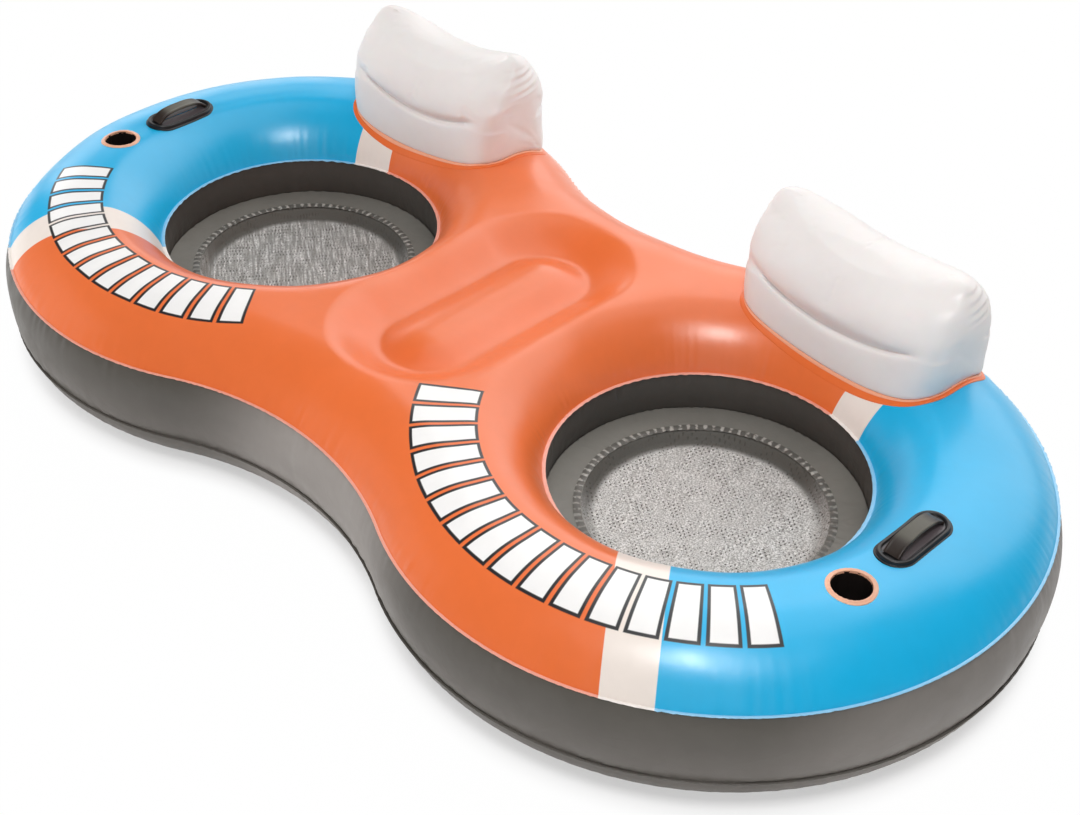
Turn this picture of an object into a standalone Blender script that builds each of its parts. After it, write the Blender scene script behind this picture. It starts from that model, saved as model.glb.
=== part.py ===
# Two-person inflatable river tube: two seat rings joined at a waist, with mesh seats,
# cup holders, carry handles and inflated backrests.
# Origin on the ground below the middle of the tube, +X to the right-hand ring,
# +Y towards the backrests, +Z up. All lengths are in metres.

import math

import bmesh
import bpy
from mathutils import Matrix, Vector

# Tube
SEAT_SPACING = 1.150
RING_OUTER_RADIUS = 0.625
SEAT_HOLE_RADIUS = 0.298
WAIST_WIDTH = 0.974
TUBE_HEIGHT = 0.306
TUBE_HALF_WIDTH = 0.168
SHEET = 0.0007
GAP = 0.0003

# Weld lines of the tube
UPPER_SEAM_HEIGHT = 0.225
LOWER_SEAM_HEIGHT = 0.083
SEAM_INSET = 0.0185
SEAM_FLANGE = 0.009
SEAT_UPPER_SEAM_HEIGHT = 0.202
SEAT_LOWER_SEAM_HEIGHT = 0.118
SEAT_FLANGE = 0.007
SEAT_WALL_BULGE = 0.003
BAND_FLAT_SHARE = 0.32
BAND_BEND_SHARE = 0.72

# Crown of the tube, and the raised oval between the seats
CROWN_EDGE_INSET = 0.123
SEAT_CROWN_OFFSET = 0.092
OVAL_HALF_LENGTH = 0.145
OVAL_TOP_RADIUS = 0.055
GROOVE_RADIUS = 0.100
WELL_RIM_RADIUS = 0.175
WELL_ROW_SHARE = 0.6
GROOVE_DEPTH = 0.045
OVAL_RISE = 0.022

# Seats
SEAT_RING_SHEET = 0.0009
SEAT_RING_SETBACK = 0.0025
NET_WELD_RADIUS = 0.226
NET_WELD_WIDTH = 0.014
NET_SHEET = 0.0016
NET_STRIP_SHEET = 0.0009
NET_STRIP_SETBACK = 0.001
NET_SLOPE_SETBACK = 0.002
NET_FLOOR_RADIUS = 0.212
NET_FLOOR_HEIGHT = 0.096
NET_PITCH = 0.044
NET_STRAND = 0.0075
NET_BORDER = 0.006
NET_CUT_DEPTH = 0.020

# Cup holders, placed from the middle circle of a ring's tube
CUP_INWARD = 0.0115
CUP_ANGLE = math.radians(-21.0)
CUP_RADIUS = 0.035
CUP_DEPTH = 0.090
CUP_SHEET = 0.0010
CUP_RIM_WIDTH = 0.006
CUP_RIM_THICKNESS = 0.0012
CUP_FLOOR_LAP = 0.006
CUP_CUT_DEPTH = 0.100

# Carry handles, placed from the same circle
HANDLE_INWARD = 0.0375
HANDLE_ANGLE = math.radians(0.0)
HANDLE_LENGTH = 0.160
HANDLE_WIDTH = 0.068
HANDLE_BASE_THICKNESS = 0.0025
HANDLE_RIM_HEIGHT = 0.0070
HANDLE_RIM_WIDTH = 0.0080
GRIP_WIDTH = 0.036
GRIP_HEIGHT = 0.026
GRIP_THICKNESS = 0.006
GRIP_FOOT = 0.015
GRIP_TOP_SHARE = 0.62
GRIP_TUNNEL_SHARE = 0.42
GRIP_CLEARANCE = 0.0025

# Backrests, placed from the same circle
BACKREST_INWARD = 0.0265
BACKREST_HALF_WIDTH = 0.252
BACKREST_HALF_DEPTH = 0.100
BACKREST_TOP_HEIGHT = 0.518
BACKREST_FOOT_HALF_WIDTH = 0.234
CREASE_HEIGHT = 0.345
CREASE_RISE = 0.064
CREASE_HALF_HEIGHT = 0.014
SKIRT_HEIGHT = 0.280
SKIRT_RISE = 0.010
BULGE_HEIGHT = 0.400
BULGE_RISE = 0.020
SHOULDER_HEIGHT = 0.450
SHOULDER_RISE = 0.005
RIDGE_DROP = 0.036
LOBE_RISE = 0.018
LOBE_DROP = 0.008
CUSHION_SQUARENESS = 0.56
CUSHION_SHEET = 0.0009
BASE_PANEL_SHEET = 0.0008
BASE_PANEL_BORDER = 0.012
BASE_PANEL_CORNER = 0.060
BASE_CUT_HALF_DEPTH = 0.200
SLOPE_GAP = 0.0005

# Air valves
VALVE_STEM_RADIUS = 0.0060
VALVE_BORE_RADIUS = 0.0040
VALVE_STEM_LENGTH = 0.0200
VALVE_LIP_RADIUS = 0.0078
VALVE_LIP_THICKNESS = 0.0015
VALVE_RUNNING_GAP = 0.0003
VALVE_FLANGE_THICKNESS = 0.0012
MAIN_FLANGE_RADIUS = 0.0190
BACKREST_FLANGE_RADIUS = 0.0140
VALVE_CAP_THICKNESS = 0.0016
VALVE_CAP_SETBACK = 0.0006
VALVE_CAP_TAPER = 0.0004
VALVE_HOLE_CLEARANCE = 0.0008
VALVE_CUT_DEPTH = 0.020
VALVE_PLUG_RADIUS = 0.0030
VALVE_PLUG_LENGTH = 0.0030
TETHER_REACH = 0.0105
TETHER_THICKNESS = 0.0010
JOIN_DEPTH = 0.0010
BARREL_LENGTH = 0.0030
KNUCKLE_LENGTH = 0.0012
CAP_BARREL_RADIUS = 0.0010
CAP_KNUCKLE_RADIUS = 0.0016
FLAP_THICKNESS = 0.0008
FLAP_STRAP_THICKNESS = 0.0006
FLAP_OVERLAP = 0.0010
FLAP_STRAP_LENGTH = 0.0018
FLAP_BARREL_RADIUS = 0.0007
FLAP_KNUCKLE_RADIUS = 0.0013
BACKREST_VALVE_HEIGHT = 0.372

# Inner sheets
WEB_SHEET = 0.0007

# Fineness of the meshes
RING_FACETS = 20
WAIST_FACETS = 2
PLANE_FACETS = 9
SEAT_FACETS = 32
CUP_FACETS = 20
CUSHION_COLUMNS = 24
VALVE_FACETS = 12
FLANGE_FACETS = 18

HALF_SPACING = SEAT_SPACING / 2
HALF_WAIST = WAIST_WIDTH / 2
HALF_HEIGHT = TUBE_HEIGHT / 2

# Circle along the middle of a ring's tube, and what stands on it
TUBE_MIDDLE_RADIUS = (RING_OUTER_RADIUS + SEAT_HOLE_RADIUS) / 2
CUP_RING_RADIUS = TUBE_MIDDLE_RADIUS - CUP_INWARD
HANDLE_RING_RADIUS = TUBE_MIDDLE_RADIUS - HANDLE_INWARD
BACKREST_CENTRE_Y = TUBE_MIDDLE_RADIUS - BACKREST_INWARD

# Rows of points across the sheets, each this far from the weld
TOP_SEAT_STEPS = (0.0, 0.012, 0.034, 0.062, SEAT_CROWN_OFFSET)
TOP_OUTER_INSETS = (0.085, 0.050, 0.029)
BOTTOM_SEAT_STEPS = (0.0, 0.020, 0.060, SEAT_CROWN_OFFSET)
BOTTOM_OUTER_INSETS = (0.075, 0.036)

# The waist is an arc that touches both rings
WAIST_ARC_RADIUS = (
    (HALF_SPACING**2 + HALF_WAIST**2 - RING_OUTER_RADIUS**2)
    / (2 * (RING_OUTER_RADIUS - HALF_WAIST))
)
WAIST_ARC_CENTRE_Y = HALF_WAIST + WAIST_ARC_RADIUS
WAIST_ARC_ANGLE = math.atan2(HALF_SPACING, WAIST_ARC_CENTRE_Y)
RING_ARC_ANGLE = math.pi / 2 + WAIST_ARC_ANGLE

parts = None
cutters = None


# Scene and materials


def clear_scene():
    for old in list(bpy.data.objects):
        bpy.data.objects.remove(old, do_unlink=True)


def new_collection(name):
    collection = bpy.data.collections.new(name)
    bpy.context.scene.collection.children.link(collection)
    return collection


def new_material(name, colour, roughness, metallic=0.0):
    material = bpy.data.materials.new(name)
    material.use_nodes = True
    material.diffuse_color = (*colour, 1.0)
    shader = material.node_tree.nodes["Principled BSDF"]
    shader.inputs["Base Color"].default_value = (*colour, 1.0)
    shader.inputs["Roughness"].default_value = roughness
    shader.inputs["Metallic"].default_value = metallic
    return material


def add_object(name, mesh, material, smooth=True):
    piece = bpy.data.objects.new(name, mesh)
    parts.objects.link(piece)
    mesh.materials.append(material)
    if smooth:
        mesh.shade_smooth()
        mesh.set_sharp_from_angle(angle=math.radians(35))
    return piece


def add_cutter(name, mesh):
    cutter = bpy.data.objects.new(name, mesh)
    cutters.objects.link(cutter)
    cutter.hide_render = True
    cutter.display_type = "WIRE"
    return cutter


def cut(piece, cutter, operation="DIFFERENCE"):
    modifier = piece.modifiers.new(operation.title() + " " + cutter.name, "BOOLEAN")
    modifier.operation = operation
    modifier.object = cutter
    modifier.solver = "EXACT"
    return modifier


def thicken(piece, thickness, offset=-1.0):
    modifier = piece.modifiers.new("Sheet thickness", "SOLIDIFY")
    modifier.thickness = thickness
    modifier.offset = offset
    modifier.use_even_offset = True
    return modifier


def mirror_at_waist(piece):
    modifier = piece.modifiers.new("Other half", "MIRROR")
    modifier.use_axis = (True, False, False)
    modifier.merge_threshold = 0.00005
    return modifier


# Meshes


def mesh_from(name, vertices, faces):
    mesh = bpy.data.meshes.new(name)
    mesh.from_pydata([tuple(vertex) for vertex in vertices], [], faces)
    mesh.validate()
    mesh.update()
    return mesh


def loft(name, rows, closed, flip=False):
    """Join rows of points, each row as long as the next, with faces."""
    vertices = [point for row in rows for point in row]
    count = len(rows[0])
    faces = []
    for row in range(len(rows) - 1):
        for column in range(count if closed else count - 1):
            following = (column + 1) % count
            face = (
                row * count + column,
                row * count + following,
                (row + 1) * count + following,
                (row + 1) * count + column,
            )
            faces.append(face[::-1] if flip else face)
    return mesh_from(name, vertices, faces)


def turned_sheet(name, profile, material, thickness, facets, centre, offset=-1.0):
    """Turn an open profile of (radius, height) points about an upright axis."""
    mesh = bpy.data.meshes.new(name)
    points = [(radius, 0.0, height) for radius, height in profile]
    edges = [(index, index + 1) for index in range(len(points) - 1)]
    mesh.from_pydata(points, edges, [])
    piece = add_object(name, mesh, material, smooth=False)
    piece.location = centre
    screw = piece.modifiers.new("Turn", "SCREW")
    screw.axis = "Z"
    screw.angle = math.tau
    screw.steps = facets
    screw.render_steps = facets
    screw.use_merge_vertices = True
    screw.merge_threshold = 0.00005
    screw.use_smooth_shade = True
    thicken(piece, thickness, offset)
    return piece


def cylinder_mesh(name, radius, depth, facets):
    mesh = bpy.data.meshes.new(name)
    shape = bmesh.new()
    bmesh.ops.create_cone(
        shape,
        cap_ends=True,
        segments=facets,
        radius1=radius,
        radius2=radius,
        depth=depth,
    )
    shape.to_mesh(mesh)
    shape.free()
    return mesh


def box_mesh(name, size):
    mesh = bpy.data.meshes.new(name)
    shape = bmesh.new()
    bmesh.ops.create_cube(shape, size=1.0)
    bmesh.ops.scale(shape, verts=shape.verts, vec=size)
    shape.to_mesh(mesh)
    shape.free()
    return mesh


def outline_object(name, points, half_thickness, material):
    """A flat outline in its own XY plane, thickened both ways."""
    curve = bpy.data.curves.new(name, "CURVE")
    curve.dimensions = "2D"
    curve.fill_mode = "BOTH"
    curve.extrude = half_thickness
    spline = curve.splines.new("POLY")
    spline.points.add(len(points) - 1)
    for index, (x, y) in enumerate(points):
        spline.points[index].co = (x, y, 0.0, 1.0)
    spline.use_cyclic_u = True
    piece = bpy.data.objects.new(name, curve)
    parts.objects.link(piece)
    curve.materials.append(material)
    return piece


def curve_to_mesh(piece, name):
    """Replace a curve object by the mesh that it makes."""
    bpy.context.view_layer.update()
    evaluated = piece.evaluated_get(bpy.context.evaluated_depsgraph_get())
    mesh = bpy.data.meshes.new_from_object(evaluated)
    shape = bmesh.new()
    shape.from_mesh(mesh)
    bmesh.ops.remove_doubles(shape, verts=shape.verts, dist=0.00001)
    bmesh.ops.recalc_face_normals(shape, faces=shape.faces)
    shape.to_mesh(mesh)
    shape.free()
    place = piece.matrix_world.copy()
    curve = piece.data
    bpy.data.objects.remove(piece)
    bpy.data.curves.remove(curve)
    solid = bpy.data.objects.new(name, mesh)
    solid.matrix_world = place
    return solid


# Plan and heights of the tube


def waist_outline(inset):
    """Half of the tube's outline, x >= 0, from the front of the waist to its back."""
    points = []
    arc_radius = WAIST_ARC_RADIUS + inset
    ring_radius = RING_OUTER_RADIUS - inset
    for step in range(WAIST_FACETS):
        angle = WAIST_ARC_ANGLE * step / WAIST_FACETS
        x = arc_radius * math.sin(angle)
        y = arc_radius * math.cos(angle) - WAIST_ARC_CENTRE_Y
        points.append((x, y))
    for step in range(RING_FACETS + 1):
        angle = RING_ARC_ANGLE * (2 * step / RING_FACETS - 1)
        x = HALF_SPACING + ring_radius * math.cos(angle)
        y = ring_radius * math.sin(angle)
        points.append((x, y))
    for step in range(WAIST_FACETS):
        angle = WAIST_ARC_ANGLE * (1 - (step + 1) / WAIST_FACETS)
        x = arc_radius * math.sin(angle)
        y = WAIST_ARC_CENTRE_Y - arc_radius * math.cos(angle)
        points.append((x, y))
    return points


def inset_at(x, y):
    """How far a point of the right half lies inside the tube's outline."""
    angle = abs(math.atan2(y, x - HALF_SPACING))
    if angle <= RING_ARC_ANGLE:
        return RING_OUTER_RADIUS - math.hypot(x - HALF_SPACING, y)
    return math.hypot(x, WAIST_ARC_CENTRE_Y - abs(y)) - WAIST_ARC_RADIUS


def swell(inset, root, crest):
    """Rise of an inflated sheet, 0 at its weld and 1 on its crown."""

    def ellipse(distance):
        reach = (TUBE_HALF_WIDTH - distance) / TUBE_HALF_WIDTH
        return math.sqrt(max(0.0, 1 - reach**2))

    distance = min(max(inset, root), crest)
    return (ellipse(distance) - ellipse(root)) / (ellipse(crest) - ellipse(root))


def quarter_round(inset, root, crest):
    """Rise of a sheet that leaves its weld upright, 0 at the weld and 1 on the flat."""
    share = min(max((inset - root) / (crest - root), 0.0), 1.0)
    return math.sqrt(1 - (1 - share) ** 2)


def smooth_step(value, low, high):
    share = min(max((value - low) / (high - low), 0.0), 1.0)
    return share * share * (3 - 2 * share)


def oval_distance(x, y):
    return math.hypot(x, max(abs(y) - OVAL_HALF_LENGTH, 0.0))


def seat_distance(x, y):
    return math.hypot(x - HALF_SPACING, y) - SEAT_HOLE_RADIUS


def top_height(x, y):
    """Outer face of the top sheet."""
    outer_rise = swell(inset_at(x, y), SEAM_INSET, CROWN_EDGE_INSET)
    seat_root = TUBE_HALF_WIDTH * 2 - (RING_OUTER_RADIUS - SEAT_HOLE_RADIUS)
    seat_crest = seat_root + SEAT_CROWN_OFFSET
    inner_rise = swell(seat_root + seat_distance(x, y), seat_root, seat_crest)
    outer = UPPER_SEAM_HEIGHT + (TUBE_HEIGHT - UPPER_SEAM_HEIGHT) * outer_rise
    inner = SEAT_UPPER_SEAM_HEIGHT + (TUBE_HEIGHT - SEAT_UPPER_SEAM_HEIGHT) * inner_rise
    away = oval_distance(x, y)
    well = GROOVE_DEPTH * (1 - smooth_step(away, GROOVE_RADIUS, WELL_RIM_RADIUS))
    oval = OVAL_RISE * (1 - smooth_step(away, OVAL_TOP_RADIUS, GROOVE_RADIUS))
    return min(outer, inner) - well + oval


def bottom_height(x, y):
    """Outer face of the bottom sheet, flat where it lies on the ground."""
    outer = LOWER_SEAM_HEIGHT * (1 - quarter_round(inset_at(x, y), SEAM_INSET, CROWN_EDGE_INSET))
    seat_seam = SEAT_LOWER_SEAM_HEIGHT - SEAT_RING_SHEET / 2 - GAP - SHEET
    inner = seat_seam * (1 - quarter_round(seat_distance(x, y), 0.0, SEAT_CROWN_OFFSET))
    return max(outer, inner)


def plane_points():
    """Where the columns of the inner sheet end on the waist's mid plane, back to front."""
    reach = HALF_WAIST - CROWN_EDGE_INSET
    widest = math.atan2(reach, HALF_SPACING)
    angles = [widest * (1 - 2 * step / PLANE_FACETS) for step in range(1, PLANE_FACETS)]
    return [(0.0, HALF_SPACING * math.tan(angle)) for angle in angles]


def oval_x(level, y):
    """Half width of the oval of this radius at y, 0 past its ends."""
    past = max(abs(y) - OVAL_HALF_LENGTH, 0.0)
    return math.sqrt(max(level**2 - past**2, 0.0))


def half_tube_sheet(name, height, seat_steps, levels, outer_insets, seat_z, seam_z):
    """The right half of a sheet that spans from the outer weld to the seat weld.

    The levels are the radii of the ovals, largest first, that rows of points follow
    between the seats.
    """
    border = waist_outline(CROWN_EDGE_INSET) + plane_points()
    outline_count = len(waist_outline(0.0))
    vertices = []
    faces = []

    def add_row(points):
        start = len(vertices)
        vertices.extend(points)
        return start

    def join(first, second, count, closed):
        for column in range(count if closed else count - 1):
            following = (column + 1) % count
            faces.append((first + column, first + following, second + following))
            faces.append((first + column, second + following, second + column))

    angles = [math.atan2(y, x - HALF_SPACING) for x, y in border]
    flange_radius = SEAT_HOLE_RADIUS - SEAT_FLANGE
    rows = []
    rows.append([on_seat(angle, flange_radius, seat_z) for angle in angles])
    for step in seat_steps:
        row = []
        for angle in angles:
            x, y, _ = on_seat(angle, SEAT_HOLE_RADIUS + step, 0.0)
            z = seat_z if step == 0.0 else height(x, y)
            row.append((x, y, z))
        rows.append(row)
    for number, level in enumerate(levels, start=1):
        row = []
        for (seat_x, seat_y, _), (end_x, end_y) in zip(rows[len(seat_steps)], border):
            share = number / (len(levels) + 1)
            if end_x == 0.0 and abs(end_y) < HALF_WAIST - CROWN_EDGE_INSET:
                least = (1 - share) * WELL_ROW_SHARE * seat_x
                x = max(oval_x(level, end_y), least)
                share = 1 - x / seat_x
            x = seat_x + (end_x - seat_x) * share
            y = seat_y + (end_y - seat_y) * share
            row.append((x, y, height(x, y)))
        rows.append(row)
    rows.append([(x, y, height(x, y)) for x, y in border])
    starts = [add_row(row) for row in rows]
    for first, second in zip(starts, starts[1:]):
        join(second, first, len(border), closed=True)

    previous = starts[-1]
    for inset in outer_insets:
        row = [(x, y, height(x, y)) for x, y in waist_outline(inset)]
        if inset in (SEAM_INSET, SEAM_INSET - SEAM_FLANGE):
            row = [(x, y, seam_z) for x, y, _ in row]
        following = add_row(row)
        join(following, previous, outline_count, closed=False)
        previous = following
    return mesh_from(name, vertices, faces)


def on_seat(angle, radius, z):
    return (HALF_SPACING + radius * math.cos(angle), radius * math.sin(angle), z)


# Skins of the tube


def top_half_mesh(name):
    weld_insets = (SEAM_INSET, SEAM_INSET - SEAM_FLANGE)
    return half_tube_sheet(
        name,
        top_height,
        TOP_SEAT_STEPS,
        (GROOVE_RADIUS, OVAL_TOP_RADIUS),
        TOP_OUTER_INSETS + weld_insets,
        SEAT_UPPER_SEAM_HEIGHT + GAP / 2 + SHEET,
        UPPER_SEAM_HEIGHT + GAP / 2 + SHEET,
    )


def make_top_sheet(material):
    piece = add_object("top_sheet", top_half_mesh("top_sheet"), material)
    mirror_at_waist(piece)
    thicken(piece, SHEET)
    for side in (-1, 1):
        name = "cup_hole_" + side_name(side)
        hole_mesh = cylinder_mesh(name, cup_hole_radius(), CUP_CUT_DEPTH, CUP_FACETS)
        hole = add_cutter(name, hole_mesh)
        hole.location = cup_place(side)
        cut(piece, hole)
    return piece


def make_bottom_sheet(material):
    weld_insets = (SEAM_INSET, SEAM_INSET - SEAM_FLANGE)
    mesh = half_tube_sheet(
        "bottom_sheet",
        bottom_height,
        BOTTOM_SEAT_STEPS,
        (),
        BOTTOM_OUTER_INSETS + weld_insets,
        SEAT_LOWER_SEAM_HEIGHT - SEAT_RING_SHEET / 2 - GAP - SHEET,
        LOWER_SEAM_HEIGHT - GAP / 2 - SHEET,
    )
    mesh.flip_normals()
    piece = add_object("bottom_sheet", mesh, material)
    mirror_at_waist(piece)
    thicken(piece, SHEET)
    return piece


def side_band_profile():
    """Inset and height of the band's outer face, from its upper weld to its lower one."""
    upper = UPPER_SEAM_HEIGHT - GAP / 2 - SHEET
    lower = LOWER_SEAM_HEIGHT + GAP / 2 + SHEET
    middle = (upper + lower) / 2
    half = (upper - lower) / 2
    bend_inset = SEAM_INSET * ((BAND_BEND_SHARE - BAND_FLAT_SHARE) / (1 - BAND_FLAT_SHARE)) ** 2
    return [
        (SEAM_INSET - SEAM_FLANGE, upper),
        (SEAM_INSET, upper),
        (bend_inset, middle + half * BAND_BEND_SHARE),
        (0.0, middle + half * BAND_FLAT_SHARE),
        (0.0, middle - half * BAND_FLAT_SHARE),
        (bend_inset, middle - half * BAND_BEND_SHARE),
        (SEAM_INSET, lower),
        (SEAM_INSET - SEAM_FLANGE, lower),
    ]


def make_side_band(material):
    profile = side_band_profile()
    rows = [[(x, y, z) for x, y in waist_outline(inset)] for inset, z in profile]
    mesh = loft("side_band", rows, closed=False, flip=True)
    piece = add_object("side_band", mesh, material)
    mirror_at_waist(piece)
    thicken(piece, SHEET)
    for side in (-1, 1):
        name = "main_valve_hole_" + side_name(side)
        hole = cylinder_mesh(name, valve_hole_radius(), VALVE_CUT_DEPTH, FLANGE_FACETS)
        cutter = add_cutter(name, hole)
        cutter.matrix_world = main_valve_frame(side)
        cut(piece, cutter)
    return piece


def make_seat_wall(side, material):
    upper = SEAT_UPPER_SEAM_HEIGHT - GAP / 2 - SHEET
    lower = SEAT_LOWER_SEAM_HEIGHT + SEAT_RING_SHEET / 2 + GAP + SHEET
    middle = (upper + lower) / 2
    profile = [
        (SEAT_HOLE_RADIUS - SEAT_FLANGE, lower),
        (SEAT_HOLE_RADIUS, lower),
        (SEAT_HOLE_RADIUS - SEAT_WALL_BULGE, middle),
        (SEAT_HOLE_RADIUS, upper),
        (SEAT_HOLE_RADIUS - SEAT_FLANGE, upper),
    ]
    centre = (side * HALF_SPACING, 0.0, 0.0)
    name = "seat_wall_" + side_name(side)
    return turned_sheet(name, profile, material, SHEET, SEAT_FACETS, centre)


def side_name(side):
    return "right" if side > 0 else "left"


# Seats


def make_seat_ring(side, material):
    middle = SEAT_LOWER_SEAM_HEIGHT
    profile = [
        (SEAT_HOLE_RADIUS - SEAT_RING_SETBACK, middle),
        (NET_WELD_RADIUS, middle),
    ]
    centre = (side * HALF_SPACING, 0.0, 0.0)
    name = "seat_ring_" + side_name(side)
    return turned_sheet(name, profile, material, SEAT_RING_SHEET, SEAT_FACETS, centre, 0.0)


def net_rim_height():
    return SEAT_LOWER_SEAM_HEIGHT - SEAT_RING_SHEET / 2 - GAP - NET_SHEET / 2


def make_net_strip(side, material):
    height = SEAT_LOWER_SEAM_HEIGHT + SEAT_RING_SHEET / 2 + GAP + NET_STRIP_SHEET / 2
    inner = NET_WELD_RADIUS + NET_STRIP_SETBACK
    profile = [(inner + NET_WELD_WIDTH, height), (inner, height)]
    centre = (side * HALF_SPACING, 0.0, 0.0)
    name = "net_weld_strip_" + side_name(side)
    return turned_sheet(name, profile, material, NET_STRIP_SHEET, SEAT_FACETS, centre, 0.0)


def net_gap_mesh():
    """Upright square prisms that cut the gaps of the net."""
    width = NET_PITCH - NET_STRAND
    reach = NET_FLOOR_RADIUS - NET_BORDER
    count = int(reach / NET_PITCH) + 1
    shape = bmesh.new()
    for column in range(-count, count + 1):
        for row in range(-count, count + 1):
            x = column * NET_PITCH
            y = row * NET_PITCH
            if math.hypot(abs(x) + width / 2, abs(y) + width / 2) > reach:
                continue
            place = Matrix.Translation((x, y, NET_FLOOR_HEIGHT))
            size = Matrix.Diagonal((width, width, NET_CUT_DEPTH, 1.0))
            bmesh.ops.create_cube(shape, size=1.0, matrix=place @ size)
    mesh = bpy.data.meshes.new("net_gaps")
    shape.to_mesh(mesh)
    shape.free()
    return mesh


def make_seat_net(side, material):
    rim = net_rim_height()
    inner = NET_WELD_RADIUS - NET_SLOPE_SETBACK
    loops = [
        (NET_WELD_RADIUS + NET_WELD_WIDTH, rim),
        (inner, rim),
        (NET_FLOOR_RADIUS, NET_FLOOR_HEIGHT),
    ]
    rows = []
    for radius, height in loops:
        row = []
        for step in range(SEAT_FACETS):
            angle = math.tau * step / SEAT_FACETS
            row.append((radius * math.cos(angle), radius * math.sin(angle), height))
        rows.append(row)
    mesh = loft("seat_net", rows, closed=True, flip=True)
    shape = bmesh.new()
    shape.from_mesh(mesh)
    shape.verts.ensure_lookup_table()
    first = SEAT_FACETS * (len(loops) - 1)
    shape.faces.new([shape.verts[first + step] for step in range(SEAT_FACETS)])
    bmesh.ops.recalc_face_normals(shape, faces=shape.faces)
    shape.to_mesh(mesh)
    shape.free()
    piece = add_object("seat_net_" + side_name(side), mesh, material)
    piece.location = (side * HALF_SPACING, 0.0, 0.0)
    thicken(piece, NET_SHEET, 0.0)
    gaps = add_cutter("net_gaps", net_gap_mesh())
    gaps.location = piece.location
    cut(piece, gaps)
    return piece


# Cup holders


def cup_place(side):
    x = HALF_SPACING + CUP_RING_RADIUS * math.cos(CUP_ANGLE)
    y = CUP_RING_RADIUS * math.sin(CUP_ANGLE)
    return Vector((side * x, y, TUBE_HEIGHT))


def cup_hole_radius():
    return CUP_RADIUS + CUP_SHEET + GAP


def make_cup(side, wall_material, rim_material):
    place = cup_place(side)
    name = side_name(side)
    flange = GAP + CUP_SHEET
    floor = flange - CUP_DEPTH
    wall_profile = [
        (CUP_RADIUS - CUP_FLOOR_LAP, floor),
        (CUP_RADIUS, floor),
        (CUP_RADIUS, flange),
        (CUP_RADIUS + CUP_RIM_WIDTH, flange),
    ]
    turned_sheet("cup_wall_" + name, wall_profile, wall_material, CUP_SHEET, CUP_FACETS, place)
    rim_middle = flange + GAP + CUP_RIM_THICKNESS / 2
    rim_profile = [(CUP_RADIUS + CUP_RIM_WIDTH, rim_middle), (CUP_RADIUS, rim_middle)]
    rim_name = "cup_rim_" + name
    turned_sheet(rim_name, rim_profile, rim_material, CUP_RIM_THICKNESS, CUP_FACETS, place, 0.0)
    disc = cylinder_mesh("cup_floor", CUP_RADIUS, CUP_SHEET, CUP_FACETS)
    base = add_object("cup_floor_" + name, disc, wall_material)
    base.location = place + Vector((0.0, 0.0, floor - CUP_SHEET - GAP - CUP_SHEET / 2))


# Carry handles


def stadium(length, width, corner_steps=6):
    radius = width / 2
    straight = length / 2 - radius
    points = []
    for end in (1, -1):
        for step in range(corner_steps + 1):
            angle = math.pi * step / corner_steps - math.pi / 2
            x = end * (straight + radius * math.cos(angle))
            points.append((x, end * radius * math.sin(angle)))
    return points


def make_handle(side, base_material, grip_material):
    name = side_name(side)
    x = HALF_SPACING + HANDLE_RING_RADIUS * math.cos(HANDLE_ANGLE)
    y = HANDLE_RING_RADIUS * math.sin(HANDLE_ANGLE)
    turn = math.pi / 2 + side * HANDLE_ANGLE
    base_z = TUBE_HEIGHT + GAP
    half_rim = HANDLE_RIM_HEIGHT / 2
    outline = stadium(HANDLE_LENGTH, HANDLE_WIDTH)
    base_curve = outline_object("handle_outline", outline, half_rim, base_material)
    base_curve.location = (side * x, y, base_z + half_rim)
    base_curve.rotation_euler = (0.0, 0.0, turn)
    base = curve_to_mesh(base_curve, "handle_base_" + name)
    parts.objects.link(base)

    length = HANDLE_LENGTH - 2 * HANDLE_RIM_WIDTH
    width = HANDLE_WIDTH - 2 * HANDLE_RIM_WIDTH
    pocket_curve = outline_object("pocket", stadium(length, width), half_rim, base_material)
    pocket_z = base_z + HANDLE_BASE_THICKNESS + half_rim
    pocket_curve.location = (side * x, y, pocket_z)
    pocket_curve.rotation_euler = (0.0, 0.0, turn)
    pocket = curve_to_mesh(pocket_curve, "handle_pocket_" + name)
    cutters.objects.link(pocket)
    pocket.hide_render = True
    pocket.display_type = "WIRE"
    cut(base, pocket)

    grip_name = "handle_grip_" + name
    grip = outline_object(grip_name, grip_outline(), GRIP_WIDTH / 2, grip_material)
    grip.location = (side * x, y, base_z + HANDLE_BASE_THICKNESS + GAP)
    grip.rotation_euler = (math.pi / 2, 0.0, turn)


def grip_outline():
    """Side view of the grip, from its right foot over the bridge to its left foot."""
    pocket_radius = HANDLE_WIDTH / 2 - HANDLE_RIM_WIDTH
    pocket_straight = (HANDLE_LENGTH - HANDLE_WIDTH) / 2
    pocket_reach = pocket_straight + math.sqrt(pocket_radius**2 - (GRIP_WIDTH / 2) ** 2)
    half = pocket_reach - GRIP_CLEARANCE
    clear_half = half - GRIP_FOOT
    clear_height = GRIP_HEIGHT - GRIP_THICKNESS
    steps = 5
    over = []
    under = []
    for step in range(steps + 1):
        angle = math.pi / 2 * step / steps
        over_x = half - (half - clear_half * GRIP_TOP_SHARE) * (1 - math.cos(angle))
        over.append((over_x, GRIP_HEIGHT * math.sin(angle)))
        under_x = clear_half - clear_half * GRIP_TUNNEL_SHARE * (1 - math.cos(angle))
        under.append((under_x, clear_height * math.sin(angle)))
    right = over + [(-x, z) for x, z in over[::-1]]
    left = [(-x, z) for x, z in under] + under[::-1]
    return right + left


# Backrests


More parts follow.
